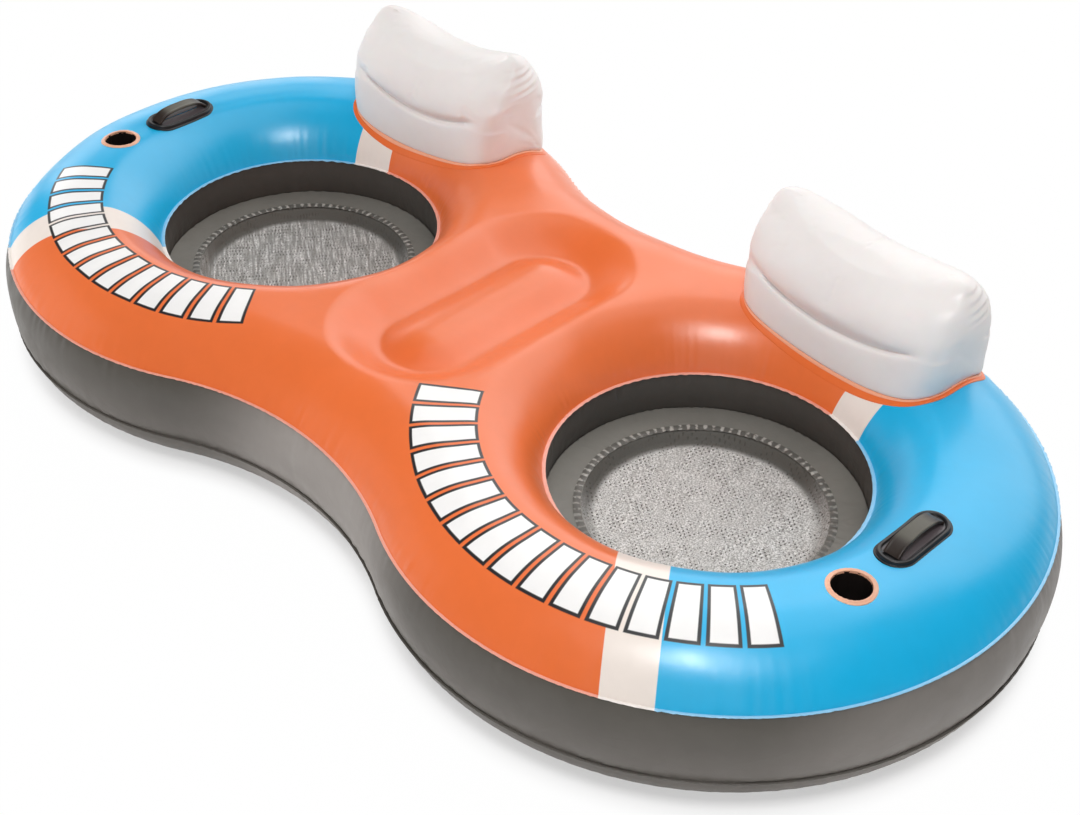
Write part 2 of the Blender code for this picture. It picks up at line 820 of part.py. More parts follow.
def rounded_outline(half_width, front, back, corner, steps=4):
    """Plan outline of a backrest's base, corners rounded."""
    points = []
    corners = (
        (half_width - corner, back - corner, 0.0),
        (-half_width + corner, back - corner, math.pi / 2),
        (-half_width + corner, front + corner, math.pi),
        (half_width - corner, front + corner, 3 * math.pi / 2),
    )
    for x, y, start in corners:
        for step in range(steps + 1):
            angle = start + math.pi / 2 * step / steps
            points.append((x + corner * math.cos(angle), y + corner * math.sin(angle)))
    return points


def crown_solid(name, side, lift, depth):
    """Layer of this depth whose top is the crown around a backrest, raised by the lift."""
    shape = bmesh.new()
    shape.from_mesh(top_half_mesh(name))
    lowest = SEAT_UPPER_SEAM_HEIGHT + 2 * SHEET
    outside = [vertex for vertex in shape.verts if vertex.co.y < 0 or vertex.co.z < lowest]
    bmesh.ops.delete(shape, geom=outside, context="VERTS")
    bmesh.ops.translate(shape, verts=shape.verts, vec=(0.0, 0.0, lift))
    bmesh.ops.scale(shape, verts=shape.verts, vec=(side, 1.0, 1.0))
    extruded = bmesh.ops.extrude_face_region(shape, geom=list(shape.faces), use_keep_orig=True)
    lowered = [item for item in extruded["geom"] if isinstance(item, bmesh.types.BMVert)]
    bmesh.ops.translate(shape, verts=lowered, vec=(0.0, 0.0, -depth))
    bmesh.ops.recalc_face_normals(shape, faces=shape.faces)
    mesh = bpy.data.meshes.new(name)
    shape.to_mesh(mesh)
    shape.free()
    return mesh


def foot_outline(border):
    half_width = BACKREST_FOOT_HALF_WIDTH + border
    front = BACKREST_CENTRE_Y - BACKREST_HALF_DEPTH - border
    back = BACKREST_CENTRE_Y + BACKREST_HALF_DEPTH + border
    return rounded_outline(half_width, front, back, BASE_PANEL_CORNER + border)


def make_base_panel(side, material):
    name = "backrest_base_" + side_name(side)
    mesh = crown_solid(name, side, SLOPE_GAP + BASE_PANEL_SHEET, BASE_PANEL_SHEET)
    piece = add_object(name, mesh, material)
    outline = foot_outline(BASE_PANEL_BORDER)
    prism = outline_object("base_outline", outline, BASE_CUT_HALF_DEPTH, material)
    prism = curve_to_mesh(prism, "base_outline_" + side_name(side))
    cutters.objects.link(prism)
    prism.hide_render = True
    prism.display_type = "WIRE"
    prism.location = (side * HALF_SPACING, 0.0, TUBE_HEIGHT)
    cut(piece, prism, "INTERSECT")
    return piece


def cushion_loops():
    """Loops of the cushion from its foot up to its ridge.

    Each has a height at the middle, a half width, a front and a back depth, and the
    rise of its ends.
    """
    foot = BACKREST_FOOT_HALF_WIDTH
    wide = BACKREST_HALF_WIDTH
    deep = BACKREST_HALF_DEPTH
    crease = CREASE_HEIGHT
    top = BACKREST_TOP_HEIGHT
    return (
        (SEAT_UPPER_SEAM_HEIGHT, foot * 0.98, deep, deep, 0.0),
        (SKIRT_HEIGHT, foot * 1.01, deep * 1.06, deep * 0.98, SKIRT_RISE),
        (crease - CREASE_HALF_HEIGHT, foot * 1.03, deep * 1.03, deep, CREASE_RISE * 0.75),
        (crease, foot * 1.04, deep * 0.86, deep, CREASE_RISE),
        (crease + CREASE_HALF_HEIGHT, foot * 1.05, deep * 1.03, deep, CREASE_RISE),
        (BULGE_HEIGHT, wide, deep * 1.10, deep, BULGE_RISE),
        (SHOULDER_HEIGHT, wide * 0.985, deep * 0.98, deep * 0.93, SHOULDER_RISE),
        (top - RIDGE_DROP, wide * 0.91, deep * 0.76, deep * 0.70, SHOULDER_RISE),
        (top - LOBE_DROP, wide * 0.77, deep * 0.34, deep * 0.30, LOBE_RISE),
    )


def cushion_cage(name, inset):
    """Closed body of the cushion, drawn in all round by the inset."""
    rows = []
    for height, half_width, front, back, rise in cushion_loops():
        row = []
        for step in range(CUSHION_COLUMNS):
            angle = math.tau * step / CUSHION_COLUMNS
            across = math.cos(angle)
            along = math.sin(angle)
            x = half_width * math.copysign(abs(across) ** CUSHION_SQUARENESS, across)
            depth = back if along > 0 else front
            y = depth * math.copysign(abs(along) ** CUSHION_SQUARENESS, along)
            row.append((x, y, height + rise * (x / half_width) ** 2))
        rows.append(row)
    mesh = loft(name, rows, closed=True)
    shape = bmesh.new()
    shape.from_mesh(mesh)
    shape.verts.ensure_lookup_table()
    first = CUSHION_COLUMNS * (len(rows) - 1)
    for step in range(CUSHION_COLUMNS // 2):
        opposite = (CUSHION_COLUMNS - step) % CUSHION_COLUMNS
        corners = [step, step + 1, CUSHION_COLUMNS - step - 1, opposite]
        unique = list(dict.fromkeys(first + corner for corner in corners))
        shape.faces.new([shape.verts[index] for index in unique])
    shape.faces.new([shape.verts[step] for step in range(CUSHION_COLUMNS)])
    bmesh.ops.recalc_face_normals(shape, faces=shape.faces)
    shape.normal_update()
    for vertex in shape.verts:
        vertex.co -= vertex.normal * inset
    shape.to_mesh(mesh)
    shape.free()
    return mesh


def make_cushion(side, material):
    name = "backrest_cushion_" + side_name(side)
    piece = add_object(name, cushion_cage(name, 0.0), material)
    piece.location = (side * HALF_SPACING, BACKREST_CENTRE_Y, 0.0)
    foot_lift = BASE_PANEL_SHEET + 2 * SLOPE_GAP
    foot = crown_solid(name + "_foot", side, foot_lift, HALF_HEIGHT)
    cut(piece, add_cutter(name + "_foot", foot))

    room = add_cutter(name + "_air", cushion_cage(name + "_air", CUSHION_SHEET))
    room.location = piece.location
    floor = crown_solid(name + "_floor", side, foot_lift + CUSHION_SHEET, HALF_HEIGHT)
    cut(room, add_cutter(name + "_floor", floor))
    cut(piece, room)

    hole_name = name + "_valve_hole"
    hole = cylinder_mesh(hole_name, valve_hole_radius(), VALVE_CUT_DEPTH, FLANGE_FACETS)
    hole_cutter = add_cutter(hole_name, hole)
    hole_cutter.matrix_world = backrest_valve_frame(side)
    cut(piece, hole_cutter)
    return piece


# Air valves


def valve_frame(place, outward):
    """Axes of a valve: Z out of the tube, Y up."""
    z_axis = Vector(outward).normalized()
    up = Vector((0.0, 0.0, 1.0))
    y_axis = (up - z_axis * up.dot(z_axis)).normalized()
    x_axis = y_axis.cross(z_axis)
    turn = Matrix((x_axis, y_axis, z_axis)).transposed().to_4x4()
    return Matrix.Translation(place) @ turn


def valve_hole_radius():
    return VALVE_LIP_RADIUS + VALVE_HOLE_CLEARANCE


def backrest_valve_frame(side):
    y = BACKREST_CENTRE_Y + BACKREST_HALF_DEPTH
    place = (side * HALF_SPACING, y, BACKREST_VALVE_HEIGHT)
    return valve_frame(place, (0.0, 1.0, 0.0))


def main_valve_frame(side):
    """Middle of the flat facet at the back of the waist."""
    points = waist_outline(0.0)
    first = Vector(points[-1])
    second = Vector(points[-2])
    middle = (first + second) / 2
    along = (second - first).normalized()
    outward = Vector((-along.y, along.x))
    if outward.y < 0:
        outward = -outward
    height = (UPPER_SEAM_HEIGHT + LOWER_SEAM_HEIGHT) / 2
    place = (side * middle.x, middle.y, height)
    return valve_frame(place, (side * outward.x, outward.y, 0.0))


def turned_solid(name, profile, material, frame, facets):
    """Turn a closed profile of (radius, height) points, which runs down its outer side."""
    mesh = bpy.data.meshes.new(name)
    points = [(radius, 0.0, height) for radius, height in profile]
    edges = [(index, (index + 1) % len(points)) for index in range(len(points))]
    mesh.from_pydata(points, edges, [])
    piece = add_object(name, mesh, material, smooth=False)
    piece.matrix_world = frame
    screw = piece.modifiers.new("Turn", "SCREW")
    screw.axis = "Z"
    screw.angle = math.tau
    screw.steps = facets
    screw.render_steps = facets
    screw.use_merge_vertices = True
    screw.merge_threshold = 0.00005
    screw.use_smooth_shade = False
    return piece


def make_valve(name, frame, flange_radius, with_flap, flange_material, stem_material):
    flange_base = GAP
    flange_top = flange_base + VALVE_FLANGE_THICKNESS
    bore = VALVE_STEM_RADIUS + VALVE_RUNNING_GAP
    turned_solid(
        name + "_flange",
        [
            (flange_radius, flange_top),
            (flange_radius, flange_base),
            (bore, flange_base),
            (bore, flange_top),
        ],
        flange_material,
        frame,
        FLANGE_FACETS,
    )
    lip_base = flange_top + GAP
    lip_top = lip_base + VALVE_LIP_THICKNESS
    foot = lip_top - VALVE_STEM_LENGTH
    stem = turned_solid(
        name + "_stem",
        [
            (VALVE_LIP_RADIUS, lip_top),
            (VALVE_LIP_RADIUS, lip_base),
            (VALVE_STEM_RADIUS, lip_base),
            (VALVE_STEM_RADIUS, foot + VALVE_LIP_THICKNESS),
            (VALVE_LIP_RADIUS, foot + VALVE_LIP_THICKNESS),
            (VALVE_LIP_RADIUS, foot),
            (VALVE_BORE_RADIUS, foot),
            (VALVE_BORE_RADIUS, lip_top),
        ],
        stem_material,
        frame,
        VALVE_FACETS,
    )
    cap_hinge = frame @ Matrix.Translation((0.0, TETHER_REACH, lip_top + GAP + CAP_BARREL_RADIUS))
    ear_start = VALVE_BORE_RADIUS + JOIN_DEPTH
    ear_end = TETHER_REACH + CAP_KNUCKLE_RADIUS
    ear_width = BARREL_LENGTH + 2 * (KNUCKLE_LENGTH + JOIN_DEPTH)
    ear_size = (ear_width, ear_end - ear_start, VALVE_LIP_THICKNESS)
    ear = add_cutter(name + "_ear", box_mesh(name + "_ear", ear_size))
    ear_middle = (0.0, (ear_start + ear_end) / 2, (lip_base + lip_top) / 2)
    ear.matrix_world = frame @ Matrix.Translation(ear_middle)
    cut(stem, ear, "UNION")
    add_knuckles(stem, name + "_cap", cap_hinge, CAP_KNUCKLE_RADIUS)
    make_cap(name, cap_hinge, stem_material)
    if with_flap:
        flap_radius = VALVE_BORE_RADIUS + FLAP_OVERLAP
        hinge_y = flap_radius + FLAP_STRAP_LENGTH
        hinge_z = foot - GAP - FLAP_BARREL_RADIUS
        flap_hinge = frame @ Matrix.Translation((0.0, hinge_y, hinge_z))
        add_knuckles(stem, name + "_flap", flap_hinge, FLAP_KNUCKLE_RADIUS)
        make_flap(name, flap_hinge, flap_radius, stem_material)


def hinge_bar_mesh(name, radius, length, middle):
    """Round bar on a hinge's axis, its middle this far along."""
    mesh = cylinder_mesh(name, radius, length, VALVE_FACETS)
    turn = Matrix.Rotation(math.pi / 2, 4, "Y")
    mesh.transform(Matrix.Translation((middle, 0.0, 0.0)) @ turn)
    return mesh


def join_part(piece, name, mesh, place):
    """Weld a shape to a piece."""
    joiner = add_cutter(name, mesh)
    joiner.matrix_world = place
    cut(piece, joiner, "UNION")


def add_knuckles(piece, name, hinge, radius):
    """Round lugs on a hinge's axis, one past each end of its barrel."""
    offset = (BARREL_LENGTH + KNUCKLE_LENGTH) / 2 + GAP
    for end, middle in (("near", -offset), ("far", offset)):
        knuckle_name = name + "_knuckle_" + end
        mesh = hinge_bar_mesh(knuckle_name, radius, KNUCKLE_LENGTH, middle)
        join_part(piece, knuckle_name, mesh, hinge)


def add_barrel(piece, name, hinge, radius):
    """Round bar that turns between the knuckles."""
    mesh = hinge_bar_mesh(name + "_barrel", radius, BARREL_LENGTH, 0.0)
    join_part(piece, name + "_barrel", mesh, hinge)


def make_cap(name, hinge, material):
    """Cap with its plug, and the tether that it swings on."""
    mesh = bpy.data.meshes.new(name + "_cap")
    shape = bmesh.new()
    disc_middle = VALVE_CAP_THICKNESS / 2 - CAP_BARREL_RADIUS
    bmesh.ops.create_cone(
        shape,
        cap_ends=True,
        segments=VALVE_FACETS,
        radius1=VALVE_LIP_RADIUS - VALVE_CAP_SETBACK,
        radius2=VALVE_LIP_RADIUS - VALVE_CAP_SETBACK - VALVE_CAP_TAPER,
        depth=VALVE_CAP_THICKNESS,
        matrix=Matrix.Translation((0.0, -TETHER_REACH, disc_middle)),
    )
    shape.to_mesh(mesh)
    shape.free()
    cap = add_object(name + "_cap", mesh, material, smooth=False)
    cap.matrix_world = hinge
    plug_length = VALVE_PLUG_LENGTH + JOIN_DEPTH
    plug_middle = JOIN_DEPTH - plug_length / 2 - CAP_BARREL_RADIUS
    plug = cylinder_mesh(name + "_plug", VALVE_PLUG_RADIUS, plug_length, VALVE_FACETS)
    plug_place = hinge @ Matrix.Translation((0.0, -TETHER_REACH, plug_middle))
    join_part(cap, name + "_plug", plug, plug_place)
    strap_length = TETHER_REACH - VALVE_PLUG_RADIUS - JOIN_DEPTH
    strap = box_mesh(name + "_strap", (BARREL_LENGTH, strap_length, TETHER_THICKNESS))
    strap_place = hinge @ Matrix.Translation((0.0, -strap_length / 2, 0.0))
    join_part(cap, name + "_strap", strap, strap_place)
    add_barrel(cap, name + "_cap", hinge, CAP_BARREL_RADIUS)
    return cap


def make_flap(name, hinge, radius, material):
    """Check flap under the stem, hinged at its upper edge."""
    mesh = cylinder_mesh(name + "_flap", radius, FLAP_THICKNESS, VALVE_FACETS)
    mesh.transform(Matrix.Translation((0.0, -radius - FLAP_STRAP_LENGTH, 0.0)))
    flap = add_object(name + "_flap", mesh, material, smooth=False)
    flap.matrix_world = hinge
    strap_length = FLAP_STRAP_LENGTH + JOIN_DEPTH
    strap = box_mesh(name + "_flap_strap", (BARREL_LENGTH, strap_length, FLAP_STRAP_THICKNESS))
    strap_place = hinge @ Matrix.Translation((0.0, -strap_length / 2, 0.0))
    join_part(flap, name + "_flap_strap", strap, strap_place)
    add_barrel(flap, name + "_flap", hinge, FLAP_BARREL_RADIUS)
    return flap


# Inner sheets


def make_tie_web(side, material):
    """Upright sheet that holds the top sheet down along one side of the raised oval."""
    name = "tie_web_" + side_name(side)
    lowest = SHEET + GAP
    highest = TUBE_HEIGHT - GROOVE_DEPTH - SHEET - GAP
    size = (WEB_SHEET, 2 * OVAL_HALF_LENGTH, highest - lowest)
    piece = add_object(name, box_mesh(name, size), material, smooth=False)
    piece.location = (side * GROOVE_RADIUS, 0.0, (lowest + highest) / 2)
    return piece


def make_divider(material):
    """Upright sheet across the waist that parts the two air chambers."""
    clear = SHEET + SLOPE_GAP
    back = [(y, top_height(0.0, y) - clear) for _, y in plane_points() if y > 0]
    back.sort()
    for inset in (CROWN_EDGE_INSET,) + TOP_OUTER_INSETS:
        y = HALF_WAIST - inset
        back.append((y, top_height(0.0, y) - 2 * clear))
    for inset, z in side_band_profile()[1:-1]:
        back.append((HALF_WAIST - inset - 2 * clear, z))
    for inset in BOTTOM_OUTER_INSETS[::-1] + (CROWN_EDGE_INSET,):
        y = HALF_WAIST - inset
        back.append((y - clear, bottom_height(0.0, y) + 2 * clear))
    outline = back + [(-y, z) for y, z in back[::-1]]
    solid = outline_object("chamber_divider", outline, WEB_SHEET / 2, material)
    solid.rotation_euler = (math.pi / 2, 0.0, math.pi / 2)
    return solid


def main():
    global parts, cutters
    clear_scene()
    parts = new_collection("river_tube")
    cutters = new_collection("cutters")
    printed = new_material("printed_vinyl", (0.87, 0.21, 0.06), 0.35)
    grey = new_material("grey_vinyl", (0.10, 0.09, 0.08), 0.45)
    ring_grey = new_material("seat_vinyl", (0.13, 0.125, 0.11), 0.5)
    net_grey = new_material("seat_mesh", (0.46, 0.44, 0.41), 0.6)
    orange = new_material("orange_vinyl", (0.87, 0.21, 0.06), 0.35)
    white = new_material("white_vinyl", (0.78, 0.76, 0.74), 0.35)
    black = new_material("black_vinyl", (0.015, 0.015, 0.015), 0.4)
    charcoal = new_material("charcoal_rubber", (0.06, 0.058, 0.05), 0.35)
    milky = new_material("valve_plastic", (0.80, 0.80, 0.78), 0.3)

    make_top_sheet(printed)
    make_side_band(grey)
    make_bottom_sheet(grey)
    make_divider(white)
    for side in (-1, 1):
        make_seat_wall(side, grey)
        make_seat_ring(side, ring_grey)
        make_net_strip(side, ring_grey)
        make_seat_net(side, net_grey)
        make_cup(side, black, orange)
        make_handle(side, black, charcoal)
        make_base_panel(side, orange)
        make_cushion(side, white)
        make_tie_web(side, white)
        name = side_name(side)
        main_name = "main_valve_" + name
        make_valve(main_name, main_valve_frame(side), MAIN_FLANGE_RADIUS, True, grey, milky)
        rest_name = "backrest_valve_" + name
        rest_frame = backrest_valve_frame(side)
        make_valve(rest_name, rest_frame, BACKREST_FLANGE_RADIUS, False, white, milky)


main()
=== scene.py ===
import math

import bmesh
import bpy
import numpy as np
from mathutils import Matrix, Vector


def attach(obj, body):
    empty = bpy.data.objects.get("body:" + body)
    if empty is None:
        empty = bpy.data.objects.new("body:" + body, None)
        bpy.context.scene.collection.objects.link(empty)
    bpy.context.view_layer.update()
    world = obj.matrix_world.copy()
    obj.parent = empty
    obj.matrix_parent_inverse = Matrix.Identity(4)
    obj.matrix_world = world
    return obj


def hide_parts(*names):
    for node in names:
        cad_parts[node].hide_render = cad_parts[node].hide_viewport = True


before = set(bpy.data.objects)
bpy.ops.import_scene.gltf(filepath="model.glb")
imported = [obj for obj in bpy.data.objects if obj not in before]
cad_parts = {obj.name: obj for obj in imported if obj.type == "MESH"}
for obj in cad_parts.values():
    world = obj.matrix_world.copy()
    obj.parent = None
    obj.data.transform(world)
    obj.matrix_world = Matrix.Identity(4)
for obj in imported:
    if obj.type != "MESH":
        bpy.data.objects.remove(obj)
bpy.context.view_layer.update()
rootBody = "tube"
sides = {"left": -1, "right": 1}
print("stage: frame loaded")


# Shape of the tube

tube = {
    "halfSpacing": 0.575,
    "ringRadius": 0.625,
    "seatRadius": 0.298,
    "halfWaist": 0.487,
    "halfWidth": 0.168,
    "crownHeight": 0.306,
    "topSeam": 0.2254,
    "lowSeam": 0.0826,
    "seatTopSeam": 0.2024,
    "seatLowSeam": 0.1176,
    # how far inside the outline the two outer welds and the crest lie, and the crest from the seat
    "seamInset": 0.0185,
    "lowInset": 0.0118,
    "crestInset": 0.123,
    "seatCrest": 0.092,
    # the raised oval: where the well round it starts and ends, and the steps of its rise
    "ovalHalfLength": 0.150,
    "well": (0.088, 0.200),
    "wellDepth": 0.047,
    "ovalRise": 0.026,
    "ovalSteps": ((0.35, 0.030, 0.098), (0.65, 0.0, 0.104)),
}
waistDepth = tube["ringRadius"] - tube["halfWaist"]
tube["arcRadius"] = (tube["halfSpacing"] ** 2 + tube["halfWaist"] ** 2 - tube["ringRadius"] ** 2) / (2 * waistDepth)
tube["arcCentreY"] = tube["halfWaist"] + tube["arcRadius"]
tube["arcAngle"] = math.atan2(tube["halfSpacing"], tube["arcCentreY"])


def smoothStep(value, low, high):
    share = np.clip((value - low) / (high - low), 0.0, 1.0)
    return share * share * (3 - 2 * share)


def smoothLeast(first, second, width):
    share = np.clip(0.5 + 0.5 * (second - first) / width, 0.0, 1.0)
    return second + (first - second) * share - width * share * (1 - share)


def fading(distance, size, reach):
    # A size that dies away with the distance from a weld.
    return size * np.exp(-np.maximum(distance, 0) / reach)


def waves(x, y, count, shortest, longest, seed):
    # A sum of sine waves in fixed random directions, about -1 to 1.
    chance = np.random.default_rng(seed)
    total = np.zeros_like(np.asarray(x, float))
    for _ in range(count):
        heading = chance.uniform(0, 2 * math.pi)
        length = chance.uniform(shortest, longest)
        phase = chance.uniform(0, 2 * math.pi)
        along = x * math.cos(heading) + y * math.sin(heading)
        total = total + np.sin(2 * math.pi * along / length + phase)
    return total / math.sqrt(count)


def puckers(along, seed, shortest=0.014, longest=0.045):
    # Small folds that stand across a weld line, told by the distance along it.
    chance = np.random.default_rng(seed)
    total = np.zeros_like(np.asarray(along, float))
    for _ in range(7):
        length = chance.uniform(shortest, longest)
        phase = chance.uniform(0, 2 * math.pi)
        swing = chance.uniform(0.05, 0.3)
        strength = 0.5 + 0.5 * np.sin(2 * math.pi * along / swing + chance.uniform(0, 6))
        total = total + strength * np.sin(2 * math.pi * along / length + phase)
    return total / 2.2


def insetAt(x, y):
    x = np.abs(x)
    angle = np.abs(np.arctan2(y, x - tube["halfSpacing"]))
    ring = tube["ringRadius"] - np.hypot(x - tube["halfSpacing"], y)
    waist = np.hypot(x, tube["arcCentreY"] - np.abs(y)) - tube["arcRadius"]
    return np.where(angle <= math.pi / 2 + tube["arcAngle"], ring, waist)


def seatDistance(x, y):
    return np.hypot(np.abs(x) - tube["halfSpacing"], y) - tube["seatRadius"]


def aroundSeat(x, y, radius, leftStart):
    # Distance along a circle round the nearer seat.
    return np.arctan2(y, np.abs(x) - tube["halfSpacing"]) * radius + np.where(x < 0, leftStart, 0.0)


def domed(distance, rootAt, crestAt):
    # Rise of an inflated sheet: 0 at its weld, 1 at the crest and a little more on the dome.
    def ellipse(d):
        reach = np.clip((tube["halfWidth"] - d) / tube["halfWidth"], 0.0, 1.0)
        return np.sqrt(np.maximum(0.0, 1 - reach**2))

    start = ellipse(rootAt)
    return (ellipse(np.maximum(distance, rootAt)) - start) / (ellipse(crestAt) - start)


def skinHeight(x, y):
    crown = tube["crownHeight"]
    outerRise = domed(insetAt(x, y), tube["seamInset"], tube["crestInset"])
    seatRoot = 2 * tube["halfWidth"] - (tube["ringRadius"] - tube["seatRadius"])
    innerRise = domed(seatRoot + seatDistance(x, y), seatRoot, seatRoot + tube["seatCrest"])
    outer = tube["topSeam"] + (crown - tube["topSeam"]) * outerRise
    inner = tube["seatTopSeam"] + (crown - tube["seatTopSeam"]) * innerRise
    away = np.hypot(x, np.maximum(np.abs(y) - tube["ovalHalfLength"], 0))
    height = smoothLeast(outer, inner, 0.008) - tube["wellDepth"] * (1 - smoothStep(away, *tube["well"]))
    for share, low, high in tube["ovalSteps"]:
        height = height + tube["ovalRise"] * share * (1 - smoothStep(away, low, high))
    return height


def bottomHeight(x, y):
    def quarter(distance, rootAt, crestAt):
        share = np.clip((distance - rootAt) / (crestAt - rootAt), 0.0, 1.0)
        return np.sqrt(1 - (1 - share) ** 2)

    outer = tube["lowSeam"] * (1 - quarter(insetAt(x, y), tube["lowInset"], tube["crestInset"]))
    inner = tube["seatLowSeam"] * (1 - quarter(seatDistance(x, y), 0.0, tube["seatCrest"]))
    return np.maximum(outer, inner)


def halfOutline(inset, spacing=0.006):
    # Points of the right half's outline from the front of the waist to its back.
    arcReach = tube["arcRadius"] + inset
    ringReach = tube["ringRadius"] - inset
    arcSteps = max(2, int(tube["arcAngle"] * tube["arcRadius"] / spacing))
    ringSteps = int((math.pi + 2 * tube["arcAngle"]) * tube["ringRadius"] / spacing)
    turn = np.linspace(0, tube["arcAngle"], arcSteps + 1)[:-1]
    front = np.c_[arcReach * np.sin(turn), arcReach * np.cos(turn) - tube["arcCentreY"]]
    limit = math.pi / 2 + tube["arcAngle"]
    around = np.linspace(-limit, limit, ringSteps + 1)
    ring = np.c_[tube["halfSpacing"] + ringReach * np.cos(around), ringReach * np.sin(around)]
    return np.vstack([front, ring, front[::-1] * np.array([1.0, -1.0])])


def fullOutline(inset):
    right = halfOutline(inset)
    return np.vstack([right, right[::-1][1:-1] * np.array([-1.0, 1.0])])


def lengthAlong(points):
    steps = np.linalg.norm(np.diff(points, axis=0), axis=1)
    return np.concatenate([[0.0], np.cumsum(steps)])


# Meshes


def gridQuads(rows, columns, closed=True, flip=False):
    row = np.arange(rows - 1)[:, None] * columns
    column = np.arange(columns if closed else columns - 1)[None, :]
    following = (column + 1) % columns
    corners = (row + column, row + following, row + columns + following, row + columns + column)
    quads = np.stack(corners, -1).reshape(-1, 4)
    return quads[:, ::-1] if flip else quads


def makePiece(name, points, faces, material, slot, *stands, body=rootBody):
    mesh = bpy.data.meshes.new(name)
    mesh.from_pydata(np.asarray(points, float).tolist(), [], [list(map(int, f)) for f in faces])
    mesh.update()
    piece = bpy.data.objects.new(name, mesh)
    bpy.context.scene.collection.objects.link(piece)
    mesh.materials.append(material)
    mesh.shade_smooth()
    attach(piece, body)
    if stands:
        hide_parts(*stands)
    return piece


def gridPiece(name, rows, material, slot, *stands, closed=True, flip=False):
    # rows is an array of rows of points, each as long as the next.
    rows = np.asarray(rows, float)
    quads = gridQuads(rows.shape[0], rows.shape[1], closed, flip)
    return makePiece(name, rows.reshape(-1, 3), quads, material, slot, *stands)


def editMesh(piece, change):
    shape = bmesh.new()
    shape.from_mesh(piece.data)
    change(shape)
    shape.to_mesh(piece.data)
    shape.free()


def mergeDoubles(piece, distance=0.00002):
    def change(shape):
        bmesh.ops.remove_doubles(shape, verts=shape.verts, dist=distance)
        bmesh.ops.recalc_face_normals(shape, faces=shape.faces)

    editMesh(piece, change)


def spread(points, count, closed=False):
    # The line's points, spread evenly along its length.
    at = lengthAlong(points)
    want = np.linspace(0, at[-1], count, endpoint=not closed)
    return np.stack([np.interp(want, at, column) for column in points.T], 1)


def smoothLine(points, count):
    # A curve of this many points through a few.
    points = np.asarray(points, float)
    padded = np.vstack([2 * points[0] - points[1], points, 2 * points[-1] - points[-2]])
    t = np.linspace(0, 1, 24, endpoint=False)[:, None]
    fine = []
    for k in range(len(points) - 1):
        a, b, c, d = padded[k : k + 4]
        bend, twist = 2 * a - 5 * b + 4 * c - d, 3 * b - 3 * c + d - a
        fine.append(0.5 * (2 * b + (c - a) * t + bend * t**2 + twist * t**3))
    return spread(np.vstack([*fine, points[-1:]]), count)


def turned(profile, centre, columns, swell=None, lift=None):
    # Rows of a profile of (radius, height) turned about an upright axis: swell widens it, lift raises it.
    angles = np.linspace(0, 2 * math.pi, columns, endpoint=False)
    rows = []
    for radius, height in profile:
        reach = radius + (swell(angles, height) if swell else 0.0)
        x = centre[0] + reach * np.cos(angles)
        y = centre[1] + reach * np.sin(angles)
        z = np.full(columns, height) + (lift(angles, radius, height, x, y) if lift else 0.0)
        rows.append(np.stack([x, y, z], 1))
    return np.array(rows)


def shifted(values, width, height):
    # A profile of changes, made from a radius and a height.
    return [(width + out, height + up) for out, up in values]


# Shader helpers


class Wire:
    # A shader value: sums and products of wires add the nodes that work them out.
    def __init__(self, graph, socket):
        self.graph = graph
        self.socket = socket

    def __add__(self, other):
        return self.graph.maths("ADD", self, other)

    def __sub__(self, other):
        return self.graph.maths("SUBTRACT", self, other)

    def __rsub__(self, other):
        return self.graph.maths("SUBTRACT", other, self)

    def __mul__(self, other):
        return self.graph.maths("MULTIPLY", self, other)

    def __truediv__(self, other):
        return self.graph.maths("DIVIDE", self, other)

    def __abs__(self):
        return self.graph.maths("ABSOLUTE", self)


class Graph:
    # Short ways to add nodes to one shader tree.
    def __init__(self, tree):
        self.tree = tree

    def give(self, sockets, values):
        for name, value in values.items():
            if isinstance(value, Wire):
                self.tree.links.new(value.socket, sockets[name])
            else:
                sockets[name].default_value = value

    def node(self, kind, inputs=None, **settings):
        node = self.tree.nodes.new("ShaderNode" + kind)
        for name, value in settings.items():
            setattr(node, name, value)
        self.give(node.inputs, inputs or {})
        return node

    def out(self, kind, inputs=None, output=0, **settings):
        return Wire(self, self.node(kind, inputs, **settings).outputs[output])

    def maths(self, operation, *values):
        return self.out("Math", dict(enumerate(values)), operation=operation)

    def vectors(self, operation, *values, output="Vector"):
        return self.out("VectorMath", dict(enumerate(values)), output, operation=operation)

    def place(self):
        return self.out("TexCoord", output="Object")

    def axes(self, vector):
        return [Wire(self, socket) for socket in self.node("SeparateXYZ", {"Vector": vector}).outputs]

    def noise(self, vector, scale, detail, distortion=0.0, output="Fac"):
        inputs = {"Vector": vector, "Scale": scale, "Detail": detail, "Distortion": distortion}
        return self.out("TexNoise", inputs, output)

    def ranged(self, value, fromLow, fromHigh, toLow=0.0, toHigh=1.0, kind="LINEAR"):
        ends = {"From Min": fromLow, "From Max": fromHigh, "To Min": toLow, "To Max": toHigh}
        return self.out("MapRange", {"Value": value, **ends}, interpolation_type=kind)

    def eased(self, *how):
        return self.ranged(*how, kind="SMOOTHSTEP")

    def blend(self, share, first, second):
        return self.out("Mix", {0: share, 6: first, 7: second}, 2, data_type="RGBA")

    def reach(self, x, y):
        return self.maths("SQRT", x * x + y * y)


def newGroup(name, inputs, outputs):
    tree = bpy.data.node_groups.new(name, "ShaderNodeTree")
    for direction, sockets in (("INPUT", inputs), ("OUTPUT", outputs)):
        for label, kind in sockets.items():
            tree.interface.new_socket(label, in_out=direction, socket_type="NodeSocket" + kind)
    graph = Graph(tree)
    given = tree.nodes.new("NodeGroupInput").outputs
    result = tree.nodes.new("NodeGroupOutput").inputs
    return graph, {label: Wire(graph, given[label]) for label in inputs}, result


def newMaterial(name):
    material = bpy.data.materials.new(name)
    material.use_nodes = True
    return material, Graph(material.node_tree), material.node_tree.nodes["Principled BSDF"]


# Shared effects

